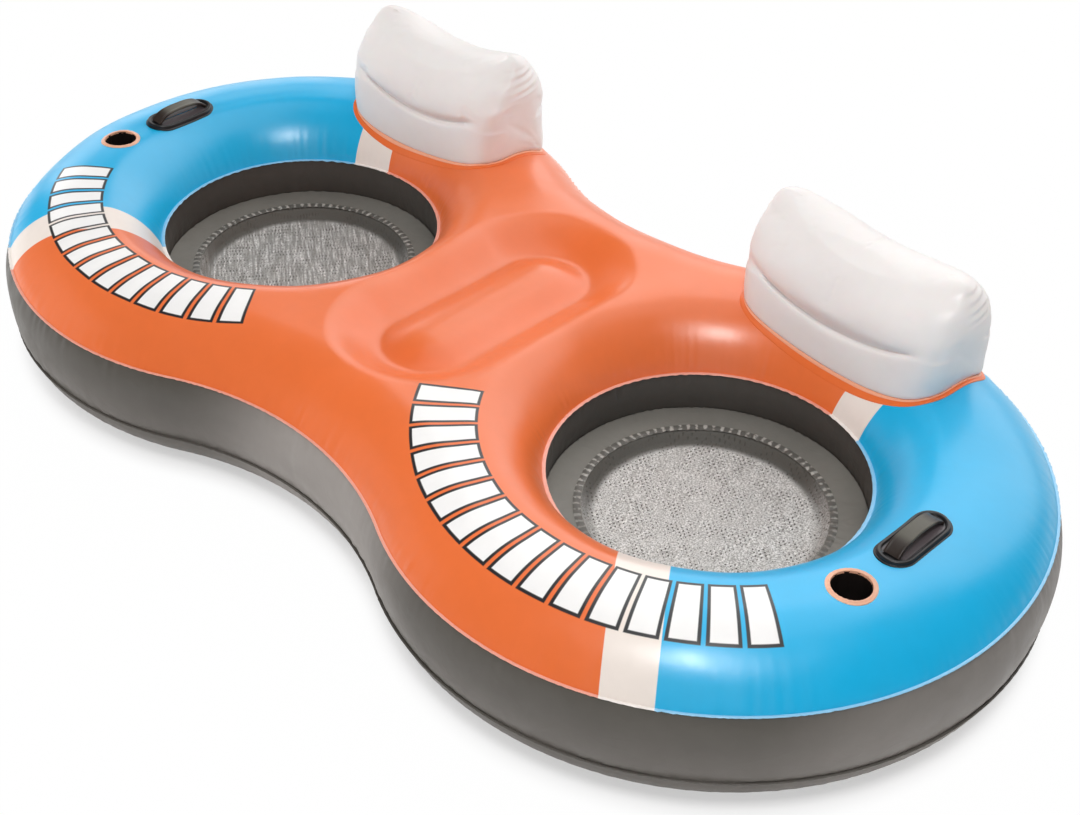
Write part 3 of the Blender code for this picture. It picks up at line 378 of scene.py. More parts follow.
vinylLook = {
    # scale, detail and distortion of each noise
    "cloud": (5.0, 3.0),
    "patch": (38.0, 4.0),
    "smear": (14.0, 5.0, 0.6),
    "warp": (9.0, 3.0, 1.2),
    "grain": (900.0, 2.0),
    "fine": (60.0, 2.0),
    "creaseWidth": 0.06,
}


def makeVinylGroup():
    # Sheet vinyl: cloudy colour, smudged sheen, fine grain and faint handling creases.
    inputs = {"Colour": "Color", "Cloud": "Float", "Sheen Low": "Float", "Sheen High": "Float", "Crease": "Float"}
    outputs = {"Colour": "Color", "Roughness": "Float", "Height": "Float"}
    graph, given, result = newGroup("vinylSheet", inputs, outputs)
    place = graph.place()

    def noise(name):
        return graph.noise(place, *vinylLook[name])

    cloud = noise("cloud") * 0.65 + noise("patch") * 0.35
    value = (cloud - 0.5) * given["Cloud"] * 4.0 + 1.0
    rough = graph.ranged(noise("smear"), 0.35, 0.65, given["Sheen Low"], given["Sheen High"])
    crease = graph.eased(abs(noise("warp") - 0.5), 0.0, vinylLook["creaseWidth"], 1.0, 0.0)
    height = crease * (given["Crease"] * 0.25) + noise("grain") * 0.035 + noise("fine") * 0.25
    tone = graph.out("HueSaturation", {"Color": given["Colour"], "Value": value})
    graph.give(result, {"Colour": tone, "Roughness": rough, "Height": height})
    return graph.tree


printing = {
    "inks": {
        "Orange": (0.845, 0.168, 0.038, 1),
        "Blue": (0.0005, 0.445, 0.790, 1),
        "Cream": (0.88, 0.785, 0.715, 1),
        "White": (0.92, 0.905, 0.89, 1),
        "Ink": (0.014, 0.014, 0.016, 1),
    },
    "look": {"cloud": 0.045, "sheen": (0.29, 0.36), "crease": 0.0, "depth": 0.0006, "specular": 0.80},
    # the weld's edges are paler
    "paler": 0.264,
    # a point and the heading of the cream stripe's front and back lines
    "front": (0.1725, -0.3775, -53.4),
    "back": (0.0955, 0.2823, 71.0),
    "stripeWidth": 0.087,
    "blur": 0.0007,
    # start and end turn from the front in degrees, bars between them, inner and outer reach
    "bars": {"right": (-57.5, 52.5, 16, 0.412, 0.532), "left": (-53.5, 40.0, 14, 0.406, 0.520)},
    "barGap": 0.0065,
    "barLine": 0.0056,
}


def makePrintGroup():
    # The printed colours of the top: orange middle, blue ends, cream stripes and rows of plain bars.
    names = {name: "Color" for name in printing["inks"]}
    graph, given, result = newGroup("ringPrint", names, {"Colour": "Color"})
    across, y, _ = graph.axes(graph.place())
    x = abs(across) - tube["halfSpacing"]
    blur = printing["blur"]

    def pastLine(px, py, heading):
        # Distance past a line through (px, py), counted towards the outer end.
        turn = math.radians(heading)
        nx, ny = -math.sin(turn), math.cos(turn)
        if nx < 0:
            nx, ny = -nx, -ny
        return (x - px) * nx + (y - py) * ny

    past = graph.maths("MINIMUM", pastLine(*printing["front"]), pastLine(*printing["back"]))
    half = printing["stripeWidth"] / 2
    creamShare = graph.eased(past, -half - blur, -half + blur)
    blueShare = graph.eased(past, half - blur, half + blur)
    colour = graph.blend(creamShare, given["Orange"], given["Cream"])
    colour = graph.blend(blueShare, colour, given["Blue"])

    reach = graph.reach(x, y)
    turn = graph.maths("ARCTAN2", x * graph.maths("SIGN", across), y * -1.0)
    isLeft = graph.maths("LESS_THAN", across, 0.0)
    outlines, fillings = [], []
    for side, (start, end, count, inner, outer) in printing["bars"].items():
        middle = (inner + outer) / 2
        pitch = math.radians(end - start) * middle / count
        along = (turn - math.radians(start)) * middle
        step = graph.maths("MAXIMUM", graph.maths("FLOOR", along / pitch), 0.0)
        step = graph.maths("MINIMUM", step, count - 1.0)
        insideX = (pitch - printing["barGap"]) / 2 - abs(along - (step + 0.5) * pitch)
        insideY = (outer - inner) / 2 - abs(reach - middle)
        inside = graph.maths("MINIMUM", insideX, insideY)
        own = isLeft if side == "left" else 1.0 - isLeft
        line = printing["barLine"]
        outlines.append(graph.ranged(inside, -blur, blur) * own)
        fillings.append(graph.ranged(inside, line - blur, line + blur) * own)
    colour = graph.blend(graph.maths("MAXIMUM", *outlines), colour, given["Ink"])
    colour = graph.blend(graph.maths("MAXIMUM", *fillings), colour, given["White"])
    graph.give(result, {"Colour": colour})
    return graph.tree


def makeWeldGroup():
    # Pressed ribs along a weld line: the input tells the place along it in metres.
    inputs = {"Along": "Float", "Pitch": "Float"}
    graph, given, result = newGroup("weldRibs", inputs, {"Height": "Float"})
    rib = graph.maths("SINE", given["Along"] / given["Pitch"] * (2 * math.pi))
    graph.give(result, {"Height": rib * 0.24 + graph.noise(graph.place(), 120.0, 2.0)})
    return graph.tree


vinylGroup = makeVinylGroup()
printGroup = makePrintGroup()
weldGroup = makeWeldGroup()


def vinylMaterial(name, colour, cloud, sheen, crease, depth, subsurface=0.0, specular=0.5, change=None):
    # The colour may be a function of the graph, and change one that works on colour and height.
    material, graph, shader = newMaterial(name)
    if callable(colour):
        colour = colour(graph)
    look = {"Colour": colour, "Cloud": cloud, "Sheen Low": sheen[0], "Sheen High": sheen[1], "Crease": crease}
    surface = graph.node("Group", look, node_tree=vinylGroup)
    tone, rough, height = (Wire(graph, socket) for socket in surface.outputs)
    if change:
        tone, height = change(graph, tone, height)
    normal = graph.out("Bump", {"Height": height, "Distance": depth})
    graph.give(shader.inputs, {"Base Color": tone, "Roughness": rough, "Normal": normal})
    graph.give(shader.inputs, {"Subsurface Weight": subsurface, "Specular IOR Level": specular})
    return material


def printColour(graph, paler=0.0):
    inks = dict(printing["inks"])
    for name in ("Orange", "Blue", "Cream"):
        inks[name] = tuple(c + (1 - c) * paler for c in inks[name])
    return graph.out("Group", inks, node_tree=printGroup)


def finColour(graph):
    return printColour(graph, printing["paler"])


band = {
    # the grey's own colour, and the paler colour of the light painted on it
    "dark": (0.094, 0.085, 0.073, 1),
    "paintedLight": (0.300, 0.272, 0.252, 1),
    # heights, distances from the middle x, and reaches between which painted light turns the grey paler
    "low": (0.200, 0.085),
    "lowShare": 0.30,
    "middle": 0.10,
    "waist": (0.10, 0.38, 1.0, 0.0),
    "tips": (1.02, 1.17, 0.0, 0.45),
}


def bandPaintedLight(graph):
    # Painted light: the grey lightens towards the lower weld, where light bounces up from the floor, and near the waist
    # and at both tips.
    x, _, z = graph.axes(graph.place())
    share = graph.eased(z, *band["low"]) * band["lowShare"]
    share = share + graph.eased(abs(x - band["middle"]), *band["waist"]) + graph.eased(abs(x), *band["tips"])
    return graph.blend(graph.maths("MINIMUM", share, 1.0), band["dark"], band["paintedLight"])


materials = {
    "printedVinyl": {"colour": printColour, **printing["look"]},
    "printedFin": {"colour": finColour, **printing["look"]},
    "greyVinyl": {
        "colour": (0.105, 0.096, 0.084, 1), "cloud": 0.10, "sheen": (0.36, 0.48), "crease": 1.2, "depth": 0.0008,
    },
    # the side band's grey, with light painted on it
    "greyBand": {"colour": bandPaintedLight, "cloud": 0.09, "sheen": (0.36, 0.48), "crease": 0.6, "depth": 0.0008},
    "greyWall": {
        "colour": (0.066, 0.058, 0.050, 1), "cloud": 0.14, "sheen": (0.40, 0.55), "crease": 1.2, "depth": 0.0008,
    },
    "seatVinyl": {
        "colour": (0.225, 0.214, 0.190, 1), "cloud": 0.12, "sheen": (0.42, 0.55), "crease": 1.4, "depth": 0.0010,
    },
    "whiteVinyl": {
        "colour": (0.84, 0.800, 0.780, 1), "cloud": 0.03, "sheen": (0.30, 0.42), "crease": 0.0, "depth": 0.0005,
        "subsurface": 0.08,
    },
    "orangeVinyl": {
        "colour": printing["inks"]["Orange"], "cloud": 0.06, "sheen": (0.29, 0.38), "crease": 0.0, "depth": 0.0006,
    },
    "salmonWeld": {
        "colour": (0.93, 0.42, 0.26, 1), "cloud": 0.06, "sheen": (0.29, 0.36), "crease": 0.0, "depth": 0.0006,
    },
    "rimVinyl": {
        "colour": (0.82, 0.43, 0.28, 1), "cloud": 0.30, "sheen": (0.29, 0.36), "crease": 0.6, "depth": 0.0005,
    },
    "cupVinyl": {
        "colour": (0.012, 0.009, 0.008, 1), "cloud": 0.2, "sheen": (0.35, 0.5), "crease": 1.0, "depth": 0.0005,
    },
    "milkyPlastic": {
        "colour": (0.70, 0.71, 0.70, 1), "cloud": 0.06, "sheen": (0.29, 0.34), "crease": 0.3, "depth": 0.0002,
        "subsurface": 0.15,
    },
}
made = {name: vinylMaterial(name, **look) for name, look in materials.items()}
print("stage: materials made")


# Skins of the tube

skin = {
    "lump": 0.0011,
    # size and reach of the folds at the outer weld, at the seats and under the outer weld
    "outerFold": (0.0017, 0.016),
    "seatFold": (0.0013, 0.013),
    "lowFold": (0.0014, 0.02),
    "calm": 0.004,
    # where the folds change from those of the rings to those of the waist
    "change": 0.30,
    "changeWidth": 0.06,
}
sideSkin = {
    "rows": 46,
    "gap": 0.0006,
    "crowding": 1.25,
    "roundness": 2.3,
    "lowFold": (0.0016, 0.018),
    "topFold": (0.0013, 0.018),
    "wave": 0.0010,
}
cup = {
    "radius": 0.035,
    "ring": 0.450,
    "angle": math.radians(-21),
    "columns": 96,
    # changes from the radius, and heights from the skin
    "rim": (
        (0.0074, -0.0004), (0.0071, 0.0008), (0.0060, 0.0013), (0.0044, 0.0014), (0.003, 0.0018),
        (0.0012, 0.0025), (-0.0002, 0.0024), (-0.0012, 0.0012), (-0.0014, -0.003),
    ),
    "pocket": (
        (-0.0012, -0.0005), (-0.0008, -0.006), (-0.0004, -0.03), (-0.0008, -0.07), (-0.003, -0.086),
        (-0.008, -0.0895), (-0.017, -0.0905), (-0.027, -0.0900), (-0.0345, -0.0895),
    ),
}


def cupPlace(sign):
    x = tube["halfSpacing"] + cup["ring"] * math.cos(cup["angle"])
    return sign * x, cup["ring"] * math.sin(cup["angle"])


def skinDetail(x, y):
    # Soft unevenness of the top, and folds that run in from its welds.
    inset = insetAt(x, y) - tube["seamInset"]
    seatInset = seatDistance(x, y)
    past = np.abs(x) - skin["change"]
    ringShare = 0.5 + 0.5 * np.sign(past) * smoothStep(np.abs(past), 0.0, skin["changeWidth"])
    folds = puckers(aroundSeat(x, y, 0.6, 7.0), 3) * ringShare
    folds = folds + puckers(x + np.where(y > 0, 3.0, 11.0), 5) * (1 - ringShare)
    detail = waves(x, y, 9, 0.12, 0.34, 21) * skin["lump"] + folds * fading(inset, *skin["outerFold"])
    detail = detail + puckers(aroundSeat(x, y, 0.3, 2.0), 8) * fading(seatInset, *skin["seatFold"])
    return detail * smoothStep(np.minimum(inset, seatInset), 0.0, skin["calm"])


def onSkin(x, y):
    return skinHeight(x, y) + skinDetail(x, y)


def valvePlaces():
    # Name, place, outward direction and flange radius of each air valve.
    half = tube["arcAngle"] / 2
    first = np.array([0.0, tube["halfWaist"]])
    second = np.array([tube["arcRadius"] * math.sin(half), tube["arcCentreY"] - tube["arcRadius"] * math.cos(half)])
    middle = (first + second) / 2
    along = (second - first) / np.linalg.norm(second - first)
    places = []
    for side, sign in sides.items():
        spot = np.array([sign * middle[0], middle[1], 0.154])
        places.append(("main_valve_" + side, spot, np.array([-sign * along[1], along[0], 0.0]), 0.0190))
        spot = np.array([sign * tube["halfSpacing"], 0.535, 0.372])
        places.append(("backrest_valve_" + side, spot, np.array([0.0, 1.0, 0.0]), 0.0140))
    return places


def valveAxes(outward):
    return np.array([[-outward[1], outward[0], 0.0], [0.0, 0.0, 1.0], outward])


def settleAtValves(points, kind):
    # The skin lies flat against each valve's flange.
    shape = points.shape
    points = points.reshape(-1, 3).copy()
    for name, place, outward, reach in valvePlaces():
        if name.startswith(kind):
            local = (points - place) @ valveAxes(outward).T
            away = np.hypot(local[:, 0], local[:, 1])
            near = (1 - smoothStep(away, reach + 0.003, reach + 0.040)) * (np.abs(local[:, 2]) < 0.05)
            points -= outward * (local[:, 2] * near)[:, None]
    return points.reshape(shape)


def openAtValves(piece, kind, radius=0.0086):
    def change(shape):
        for name, place, outward, _ in valvePlaces():
            if name.startswith(kind):
                axes = valveAxes(outward)
                hole = []
                for face in shape.faces:
                    local = axes @ (np.array(face.calc_center_median()) - place)
                    if math.hypot(local[0], local[1]) < radius and abs(local[2]) < 0.02:
                        hole.append(face)
                bmesh.ops.delete(shape, geom=hole, context="FACES")

    editMesh(piece, change)


def sheetPlan(inset, spacing, middleCount, rowCount, ease, flip=False):
    # Plan of a skin from the seats out to its weld: points and faces of both halves.
    border = halfOutline(inset, spacing)
    topY = border[-1][1]
    middleY = np.linspace(topY, -topY, middleCount)[1:-1]
    border = np.vstack([border, np.c_[np.zeros_like(middleY), middleY]])
    angles = np.arctan2(border[:, 1], border[:, 0] - tube["halfSpacing"])
    inner = tube["seatRadius"] * np.c_[np.cos(angles), np.sin(angles)] + [tube["halfSpacing"], 0.0]
    t = np.linspace(0, 1, rowCount)
    shares = ease * (0.5 - 0.5 * np.cos(math.pi * t)) + (1 - ease) * t
    flat = (inner[None] + (border - inner)[None] * shares[:, None, None]).reshape(-1, 2)
    quads = gridQuads(rowCount, len(border), flip=flip)
    points = np.vstack([flat, flat * np.array([-1.0, 1.0])])
    return points, np.vstack([quads, quads[:, ::-1] + len(flat)])


def makeTopSkin():
    points, faces = sheetPlan(tube["seamInset"], 0.006, 170, 92, 0.45)
    middle = points[faces].mean(1)
    keep = np.ones(len(faces), bool)
    for sign in sides.values():
        keep &= np.hypot(*(middle - cupPlace(sign)).T) > cup["radius"] + 0.003
    points = np.c_[points, onSkin(*points.T)]
    piece = makePiece("topSkin", points, faces[keep], made["printedVinyl"], "printed_vinyl", "top_sheet")
    mergeDoubles(piece)


def makeSideSkin():
    top, low = tube["topSeam"] - sideSkin["gap"], tube["lowSeam"] + sideSkin["gap"]
    middle, half = (top + low) / 2, (top - low) / 2
    outline = fullOutline(0.0)
    deep, deepLow = fullOutline(tube["seamInset"]), fullOutline(tube["lowInset"])
    outward = (outline - deep) / np.linalg.norm(outline - deep, axis=1)[:, None]
    along = lengthAlong(outline)
    rows = []
    for t in np.linspace(-1, 1, sideSkin["rows"]):
        t = math.copysign(1 - (1 - abs(t)) ** sideSkin["crowding"], t)
        fold = puckers(along, 31) * fading((1 - t) * half, *sideSkin["lowFold"])
        fold = fold + puckers(along, 37) * fading((1 + t) * half, *sideSkin["topFold"])
        fold = fold + waves(along, np.full_like(along, t * half), 6, 0.10, 0.30, 41) * sideSkin["wave"]
        fold = fold * min(1.0, (1 - abs(t)) * 12)
        share = abs(t) ** sideSkin["roundness"]
        place = outline + ((deepLow if t > 0 else deep) - outline) * share + outward * fold[:, None]
        rows.append(np.c_[place, np.full(len(place), middle - half * t)])
    rows = settleAtValves(np.array(rows), "main")
    piece = gridPiece("sideSkin", rows, made["greyBand"], "grey_vinyl", "side_band", flip=True)
    openAtValves(piece, "main")


def makeBottomSkin():
    points, faces = sheetPlan(tube["lowInset"], 0.010, 90, 52, 0.7, flip=True)
    x, y = points.T
    z = bottomHeight(x, y)
    inset = np.minimum(insetAt(x, y) - tube["lowInset"], seatDistance(x, y))
    fold = puckers(aroundSeat(x, y, 0.6, 7.0), 51) * fading(inset, *skin["lowFold"])
    z = z + np.minimum(z, 0.01) / 0.01 * fold
    piece = makePiece("bottomSkin", np.c_[points, z], faces, made["greyBand"], "grey_vinyl", "bottom_sheet")
    mergeDoubles(piece)


fins = {
    # share of the way out and lift of each row
    "section": (
        (0, 0.0005), (0.5, 0.0008), (0.92, 0.0008), (1.0, 0.0003), (1.0, -0.0003), (0.9, -0.0008), (0, -0.0005),
    ),
    "gap": 0.0005,
    "sway": 0.10,
    "wave": 0.0014,
}


def makeFin(name, inner, outer, height, material, droop, seed, slot):
    # A thin welded edge that stands out from a seam, a little wavy.
    low, far = fullOutline(inner + fins["gap"]), fullOutline(outer)
    wave = puckers(lengthAlong(low), seed, 0.010, 0.030)
    rows = []
    for share, lift in fins["section"]:
        place = low + (far - low) * share * (1 + fins["sway"] * wave[:, None])
        rows.append(np.c_[place, height + lift + share**1.5 * (wave * fins["wave"] - droop)])
    gridPiece(name, rows, material, slot, flip=True)


makeTopSkin()
makeSideSkin()
makeBottomSkin()
topSeam, lowSeam = (tube["seamInset"], 0.0138, tube["topSeam"]), (tube["lowInset"], 0.0062, tube["lowSeam"])
makeFin("topWeldEdge", *topSeam, made["printedFin"], 0.0004, 61, "printed_vinyl")
makeFin("lowWeldEdge", *lowSeam, made["greyVinyl"], 0.0002, 67, "grey_vinyl")
print("stage: skins made")


# Seats

seat = {
    "columns": 420,
    "netColumns": 300,
    "wallTop": 0.2018,
    "wallLow": 0.1186,
    "wallBow": 0.004,
    "ringOuter": 0.2965,
    "ringInner": 0.226,
    "ringHeight": 0.1182,
    "stripInner": 0.227,
    "stripOuter": 0.241,
    # size and reach of the folds: at the top and foot of the wall, on the ring at the net and the wall
    "wallTopFold": (0.0016, 0.014),
    "wallLowFold": (0.0014, 0.014),
    "netFold": (0.0010, 0.016),
    "outerFold": (0.0008, 0.010),
    # radius of the net's steep band, size and reach of its ripples
    "steep": 0.219,
    "steepFold": (0.0012, 0.006),
    # the light weld edge at the top of the hole, as changes from its radius and height
    "edge": (
        (0.0004, 0.0006), (-0.003, 0.0009), (-0.0060, 0.0008), (-0.0066, 0.0),
        (-0.0060, -0.0008), (-0.003, -0.0009), (0.0004, -0.0006),
    ),
    # the net's radius and height: a steep band, then a shallow floor
    "slope": (
        (0.240, 0.1164), (0.232, 0.1164), (0.226, 0.1152), (0.220, 0.1070), (0.214, 0.0985),
        (0.207, 0.0953), (0.197, 0.0942), (0.15, 0.0922), (0.08, 0.0910), (0.001, 0.0907),
    ),
}
netLook = {
    "thread": (0.40, 0.386, 0.358, 1),
    "bright": (0.98, 0.965, 0.94, 1),
    "shade": (0.27, 0.257, 0.235, 1),
    # painted shade: the steep band's colour, and the holes' colour for the shade seen through them
    "band": (0.105, 0.098, 0.085, 1),
    "hole": (0.085, 0.078, 0.066, 1),
    # heading of the knit's rows, pitches of its holes, and share of dark streaks
    "left": {"heading": -54.0, "across": 0.0070, "along": 0.026, "streak": 0.80},
    "right": {"heading": -20.0, "across": 0.0105, "along": 0.0150, "streak": 0.22},
}
# the ribs' pitch, the weld's radius, and the colour of the highlight painted on the crests
weld = {"pitch": 0.0165, "radius": 0.234, "paintedLight": (0.52, 0.495, 0.455, 1)}


def makeNetMaterial(side, sign):
    # Knitted mesh: rows of small holes painted dark for the shade seen through them, between light threads, with
    # painted shade on the steep band.
    own = netLook[side]
    material, graph, shader = newMaterial("seatMesh_" + side)
    place = graph.place()
    knit = graph.out("Mapping", {"Vector": place, "Rotation": (0, 0, math.radians(own["heading"]))})
    warp = graph.noise(knit, 22.0, 2.0, output="Color")
    x, y, _ = graph.axes(graph.vectors("ADD", knit, graph.vectors("MULTIPLY", warp, (0.006, 0.006, 0.0))))
    rows = graph.maths("SINE", x * (2 * math.pi / own["across"]))
    rows = rows * graph.maths("SINE", y * (2 * math.pi / own["along"]))
    depth = graph.ranged(graph.noise(knit, 34.0, 3.0), 0.35, 0.65, 0.35, 1.0)
    hole = graph.eased(rows * depth, 0.42, 0.75)
    fibre = graph.noise(knit, 330.0, 2.0)
    streak = graph.noise(graph.out("Mapping", {"Vector": knit, "Scale": (190.0, 16.0, 1.0)}), 1.0, 2.0)
    light = graph.blend(graph.ranged(fibre, 0.36, 0.64), netLook["thread"], netLook["bright"])
    light = graph.blend(graph.ranged(streak, 0.42, 0.66, own["streak"], 0.0), light, netLook["shade"])
    plan = graph.vectors("SUBTRACT", place, (sign * tube["halfSpacing"], 0.0, 0.0))
    plan = graph.vectors("MULTIPLY", plan, (1.0, 1.0, 0.0))
    reach = graph.vectors("LENGTH", plan, output="Value")
    # painted shade on the steep band, deepest towards the back
    steep = graph.eased(reach + (fibre - 0.5) * 0.010, 0.197, 0.2115)
    behind = graph.vectors("DOT_PRODUCT", plan, (-3.2, 3.0, 0.0), output="Value")
    light = graph.blend(steep * graph.eased(behind, -0.25, 0.45, 0.35, 1.0), light, netLook["band"])
    looks = {
        "Base Color": graph.blend(hole, light, netLook["hole"]),
        "Roughness": graph.ranged(fibre, 0.3, 0.7, 0.55, 0.8),
        "Normal": graph.out("Bump", {"Height": fibre * 0.3 - hole, "Distance": 0.0012, "Strength": 0.8}),
    }
    graph.give(shader.inputs, looks)
    return material


def weldRibsAndHighlight(graph, tone, height):
    # Pressed ribs along the net's weld, with a highlight painted on their crests.
    across, y, _ = graph.axes(graph.place())
    x = abs(across) - tube["halfSpacing"]
    along = graph.maths("ARCTAN2", y, x) * weld["radius"]
    rib = graph.out("Group", {"Along": along, "Pitch": weld["pitch"]}, node_tree=weldGroup)
    behind = y - graph.maths("SIGN", across) * x
    # painted highlight on the rib crests, strongest towards the back
    light = graph.eased(rib, 0.50, 0.82) * graph.eased(behind, -0.15, 0.20, 0.35, 1.0)
    return graph.blend(light, tone, weld["paintedLight"]), height + rib


def makeSeat(side, sign):
    centre = (sign * tube["halfSpacing"], 0.0)
    seed = 107 if sign > 0 else 100
    middle = (seat["wallTop"] + seat["wallLow"]) / 2
    half = (seat["wallTop"] - seat["wallLow"]) / 2

    def wallSwell(angles, height):
        t = (height - middle) / half
        along = angles * tube["seatRadius"]
        fold = puckers(along, seed) * fading((1 - t) * half, *seat["wallTopFold"])
        fold = fold + puckers(along, seed + 1) * fading((1 + t) * half, *seat["wallLowFold"])
        return fold * min(1.0, (1 - abs(t)) * 10)

    def edgeLift(angles, radius, height, x, y):
        share = (tube["seatRadius"] - radius) / 0.007
        return puckers(angles * 0.3, seed + 2, 0.010, 0.028) * 0.0009 * share

    def netFold(angles, radius):
        return puckers(angles * 0.24, seed + 3, 0.012, 0.030) * fading(radius - seat["ringInner"], *seat["netFold"])

    def ringLift(angles, radius, height, x, y):
        outer = puckers(angles * 0.3, seed + 5) * fading(seat["ringOuter"] - radius, *seat["outerFold"])
        slow = waves(x - centre[0], y, 6, 0.08, 0.2, seed + 4)
        return netFold(angles, radius) + outer + (slow + 1) * 0.0006

    def stripLift(angles, radius, height, x, y):
        wave = puckers(angles * 0.235, seed + 6, 0.007, 0.013)
        share = math.sin(math.pi * (radius - seat["stripInner"]) / (seat["stripOuter"] - seat["stripInner"]))
        return netFold(angles, radius) + (0.0009 + wave * 0.0007) * max(share, 0) + 0.0012

    def netLift(angles, radius, height, x, y):
        ripple = puckers(angles * 0.22, seed + 8, 0.008, 0.020)
        ripple = ripple * fading(abs(radius - seat["steep"]), *seat["steepFold"])
        slow = waves(x - centre[0], y, 7, 0.06, 0.22, seed + 9)
        calm = 1 - math.exp(-(((seat["slope"][0][0] - radius) / 0.02) ** 2))
        return (ripple + slow * 0.0009) * calm

    def add(name, profile, material, slot, *stands, columns=seat["columns"], flip=True, **shapes):
        rows = turned(profile, centre, columns, **shapes)
        return gridPiece(name + side, rows, material, slot, *(stand + side for stand in stands), flip=flip)

    def flat(outer, inner, count):
        return [(radius, seat["ringHeight"]) for radius in np.linspace(outer, inner, count)]

    wall = [(tube["seatRadius"] - seat["wallBow"] * (1 - t * t), middle + half * t) for t in np.linspace(-1, 1, 24)]
    add("seatWall_", wall, made["greyWall"], "grey_vinyl", "seat_wall_", swell=wallSwell)
    edge = shifted(seat["edge"], tube["seatRadius"], tube["seatTopSeam"])
    add("seatWeldEdge_", edge, made["printedFin"], "printed_vinyl", flip=False, lift=edgeLift)
    ringProfile = flat(seat["ringOuter"], seat["ringInner"], 26)
    ring = add("seatRing_", ringProfile, made["seatVinyl"], "seat_vinyl", "seat_ring_", lift=ringLift)
    strip = flat(seat["stripOuter"], seat["stripInner"], 14)
    double = seat["columns"] * 2
    add("netWeld_", strip, weldStrip, "seat_vinyl", "net_weld_strip_", columns=double, lift=stripLift)
    mesh = makeNetMaterial(side, sign)
    slope = smoothLine(seat["slope"], 120)
    net = add("seatNet_", slope, mesh, "seat_mesh", "seat_net_", columns=seat["netColumns"], lift=netLift)


weldColour = (0.135, 0.128, 0.113, 1)
# the weld strip's ribs carry a painted highlight
weldLook = {"cloud": 0.16, "sheen": (0.38, 0.5), "crease": 1.2, "depth": 0.0008, "change": weldRibsAndHighlight}
weldStrip = vinylMaterial("weldStrip", weldColour, **weldLook)
for side, sign in sides.items():
    makeSeat(side, sign)
print("stage: seats made")


# Cup holders


def makeCup(side, sign):
    centre = cupPlace(sign)
    top = float(skinHeight(*np.array(centre)))

    def rimLift(angles, radius, height, x, y):
        share = float(np.clip((radius - 0.028) / 0.007, 0, 1)) if height > -0.02 else 0.0
        wobble = puckers(angles * 0.04, 201 + sign, 0.008, 0.02) * 0.0004
        return top + (onSkin(x, y) - top + wobble) * share

    def pocketSwell(angles, height):
        return puckers(angles * 0.035, 211 + sign, 0.012, 0.05) * 0.0010

    rim = smoothLine(shifted(cup["rim"], cup["radius"], 0.0), 26)
    rows = turned(rim, centre, cup["columns"], lift=rimLift)
    gridPiece("cupRim_" + side, rows, made["rimVinyl"], "orange_vinyl", "cup_rim_" + side)
    pocket = smoothLine(shifted(cup["pocket"], cup["radius"], top), 60)
    rows = turned(pocket, centre, cup["columns"], swell=pocketSwell)
    stands = ("cup_wall_" + side, "cup_floor_" + side)
    gridPiece("cupPocket_" + side, rows, made["cupVinyl"], "black_vinyl", *stands)


for side, sign in sides.items():
    makeCup(side, sign)
print("stage: cups made")


# Carry handles

handle = {
    "ring": 0.424,
    "length": 0.160,
    "width": 0.068,
    "columns": 180,
    # the base: how far in from its outline, and height above the skin
    "base": (
        (-0.0035, -0.0008), (-0.0028, 0.0009), (0.0, 0.0013), (0.0004, 0.00432), (0.0018, 0.006696),
        (0.00425, 0.0072), (0.00697, 0.00648), (0.0085, 0.00432), (0.0093, 0.0032),
        (0.0105, 0.0026), (0.018, 0.0026), (0.026, 0.0026), (0.0325, 0.0026),
    ),
    "baseRim": (0.012, 0.012, 0.013, 1),
    "baseFloor": (0.085, 0.070, 0.074, 1),
    "pocket": (0.0245, 0.062),
    # the grip: reach and rise of its arch, half width and thickness, and its raised edges
    "reach": 0.062,
    "arch": ((-0.062, 0.0035), (-0.057, 0.0085), (-0.046, 0.0160), (-0.028, 0.0208), (0.0, 0.0222)),
    "gripWidth": 0.0155,
    "gripThick": 0.0030,
    "gripEdge": 0.0009,
    # the grip's own colour, and the shade painted on its feet
    "gripColour": (0.095, 0.088, 0.068, 1),
    "footShade": (0.024, 0.015, 0.011, 1),
}


def gripColour(graph):
    # Painted shade: the grip darkens towards both feet, where they dip into the base.
    _, y, _ = graph.axes(graph.place())
    return graph.blend(graph.eased(abs(y), 0.024, 0.046), handle["gripColour"], handle["footShade"])


def baseColour(graph):
    # A glossy black rim round a paler pocket floor.
    x, y, _ = graph.axes(graph.place())
    x = abs(abs(x) - (tube["halfSpacing"] + handle["ring"])) / handle["pocket"][0]
    out = graph.maths("MAXIMUM", x, abs(y) / handle["pocket"][1])
    return graph.blend(graph.eased(out, 0.86, 1.0, 1.0, 0.0), handle["baseRim"], handle["baseFloor"])


def stadiumLoop(inward):
    # Points round the base's outline, its long side along Y, drawn in by inward.
    radius = handle["width"] / 2 - inward
    straight = (handle["length"] - handle["width"]) / 2
    arc = math.pi * handle["width"] / 2 * 0.7
    along = np.linspace(0, 2 * straight + arc, handle["columns"] // 2, endpoint=False)
    turn = np.clip((along - 2 * straight) / arc, 0, 1) * math.pi
    y = np.where(along < 2 * straight, along - straight, straight + radius * np.sin(turn))
    half = np.c_[radius * np.cos(turn), y]
    return np.vstack([half, -half])


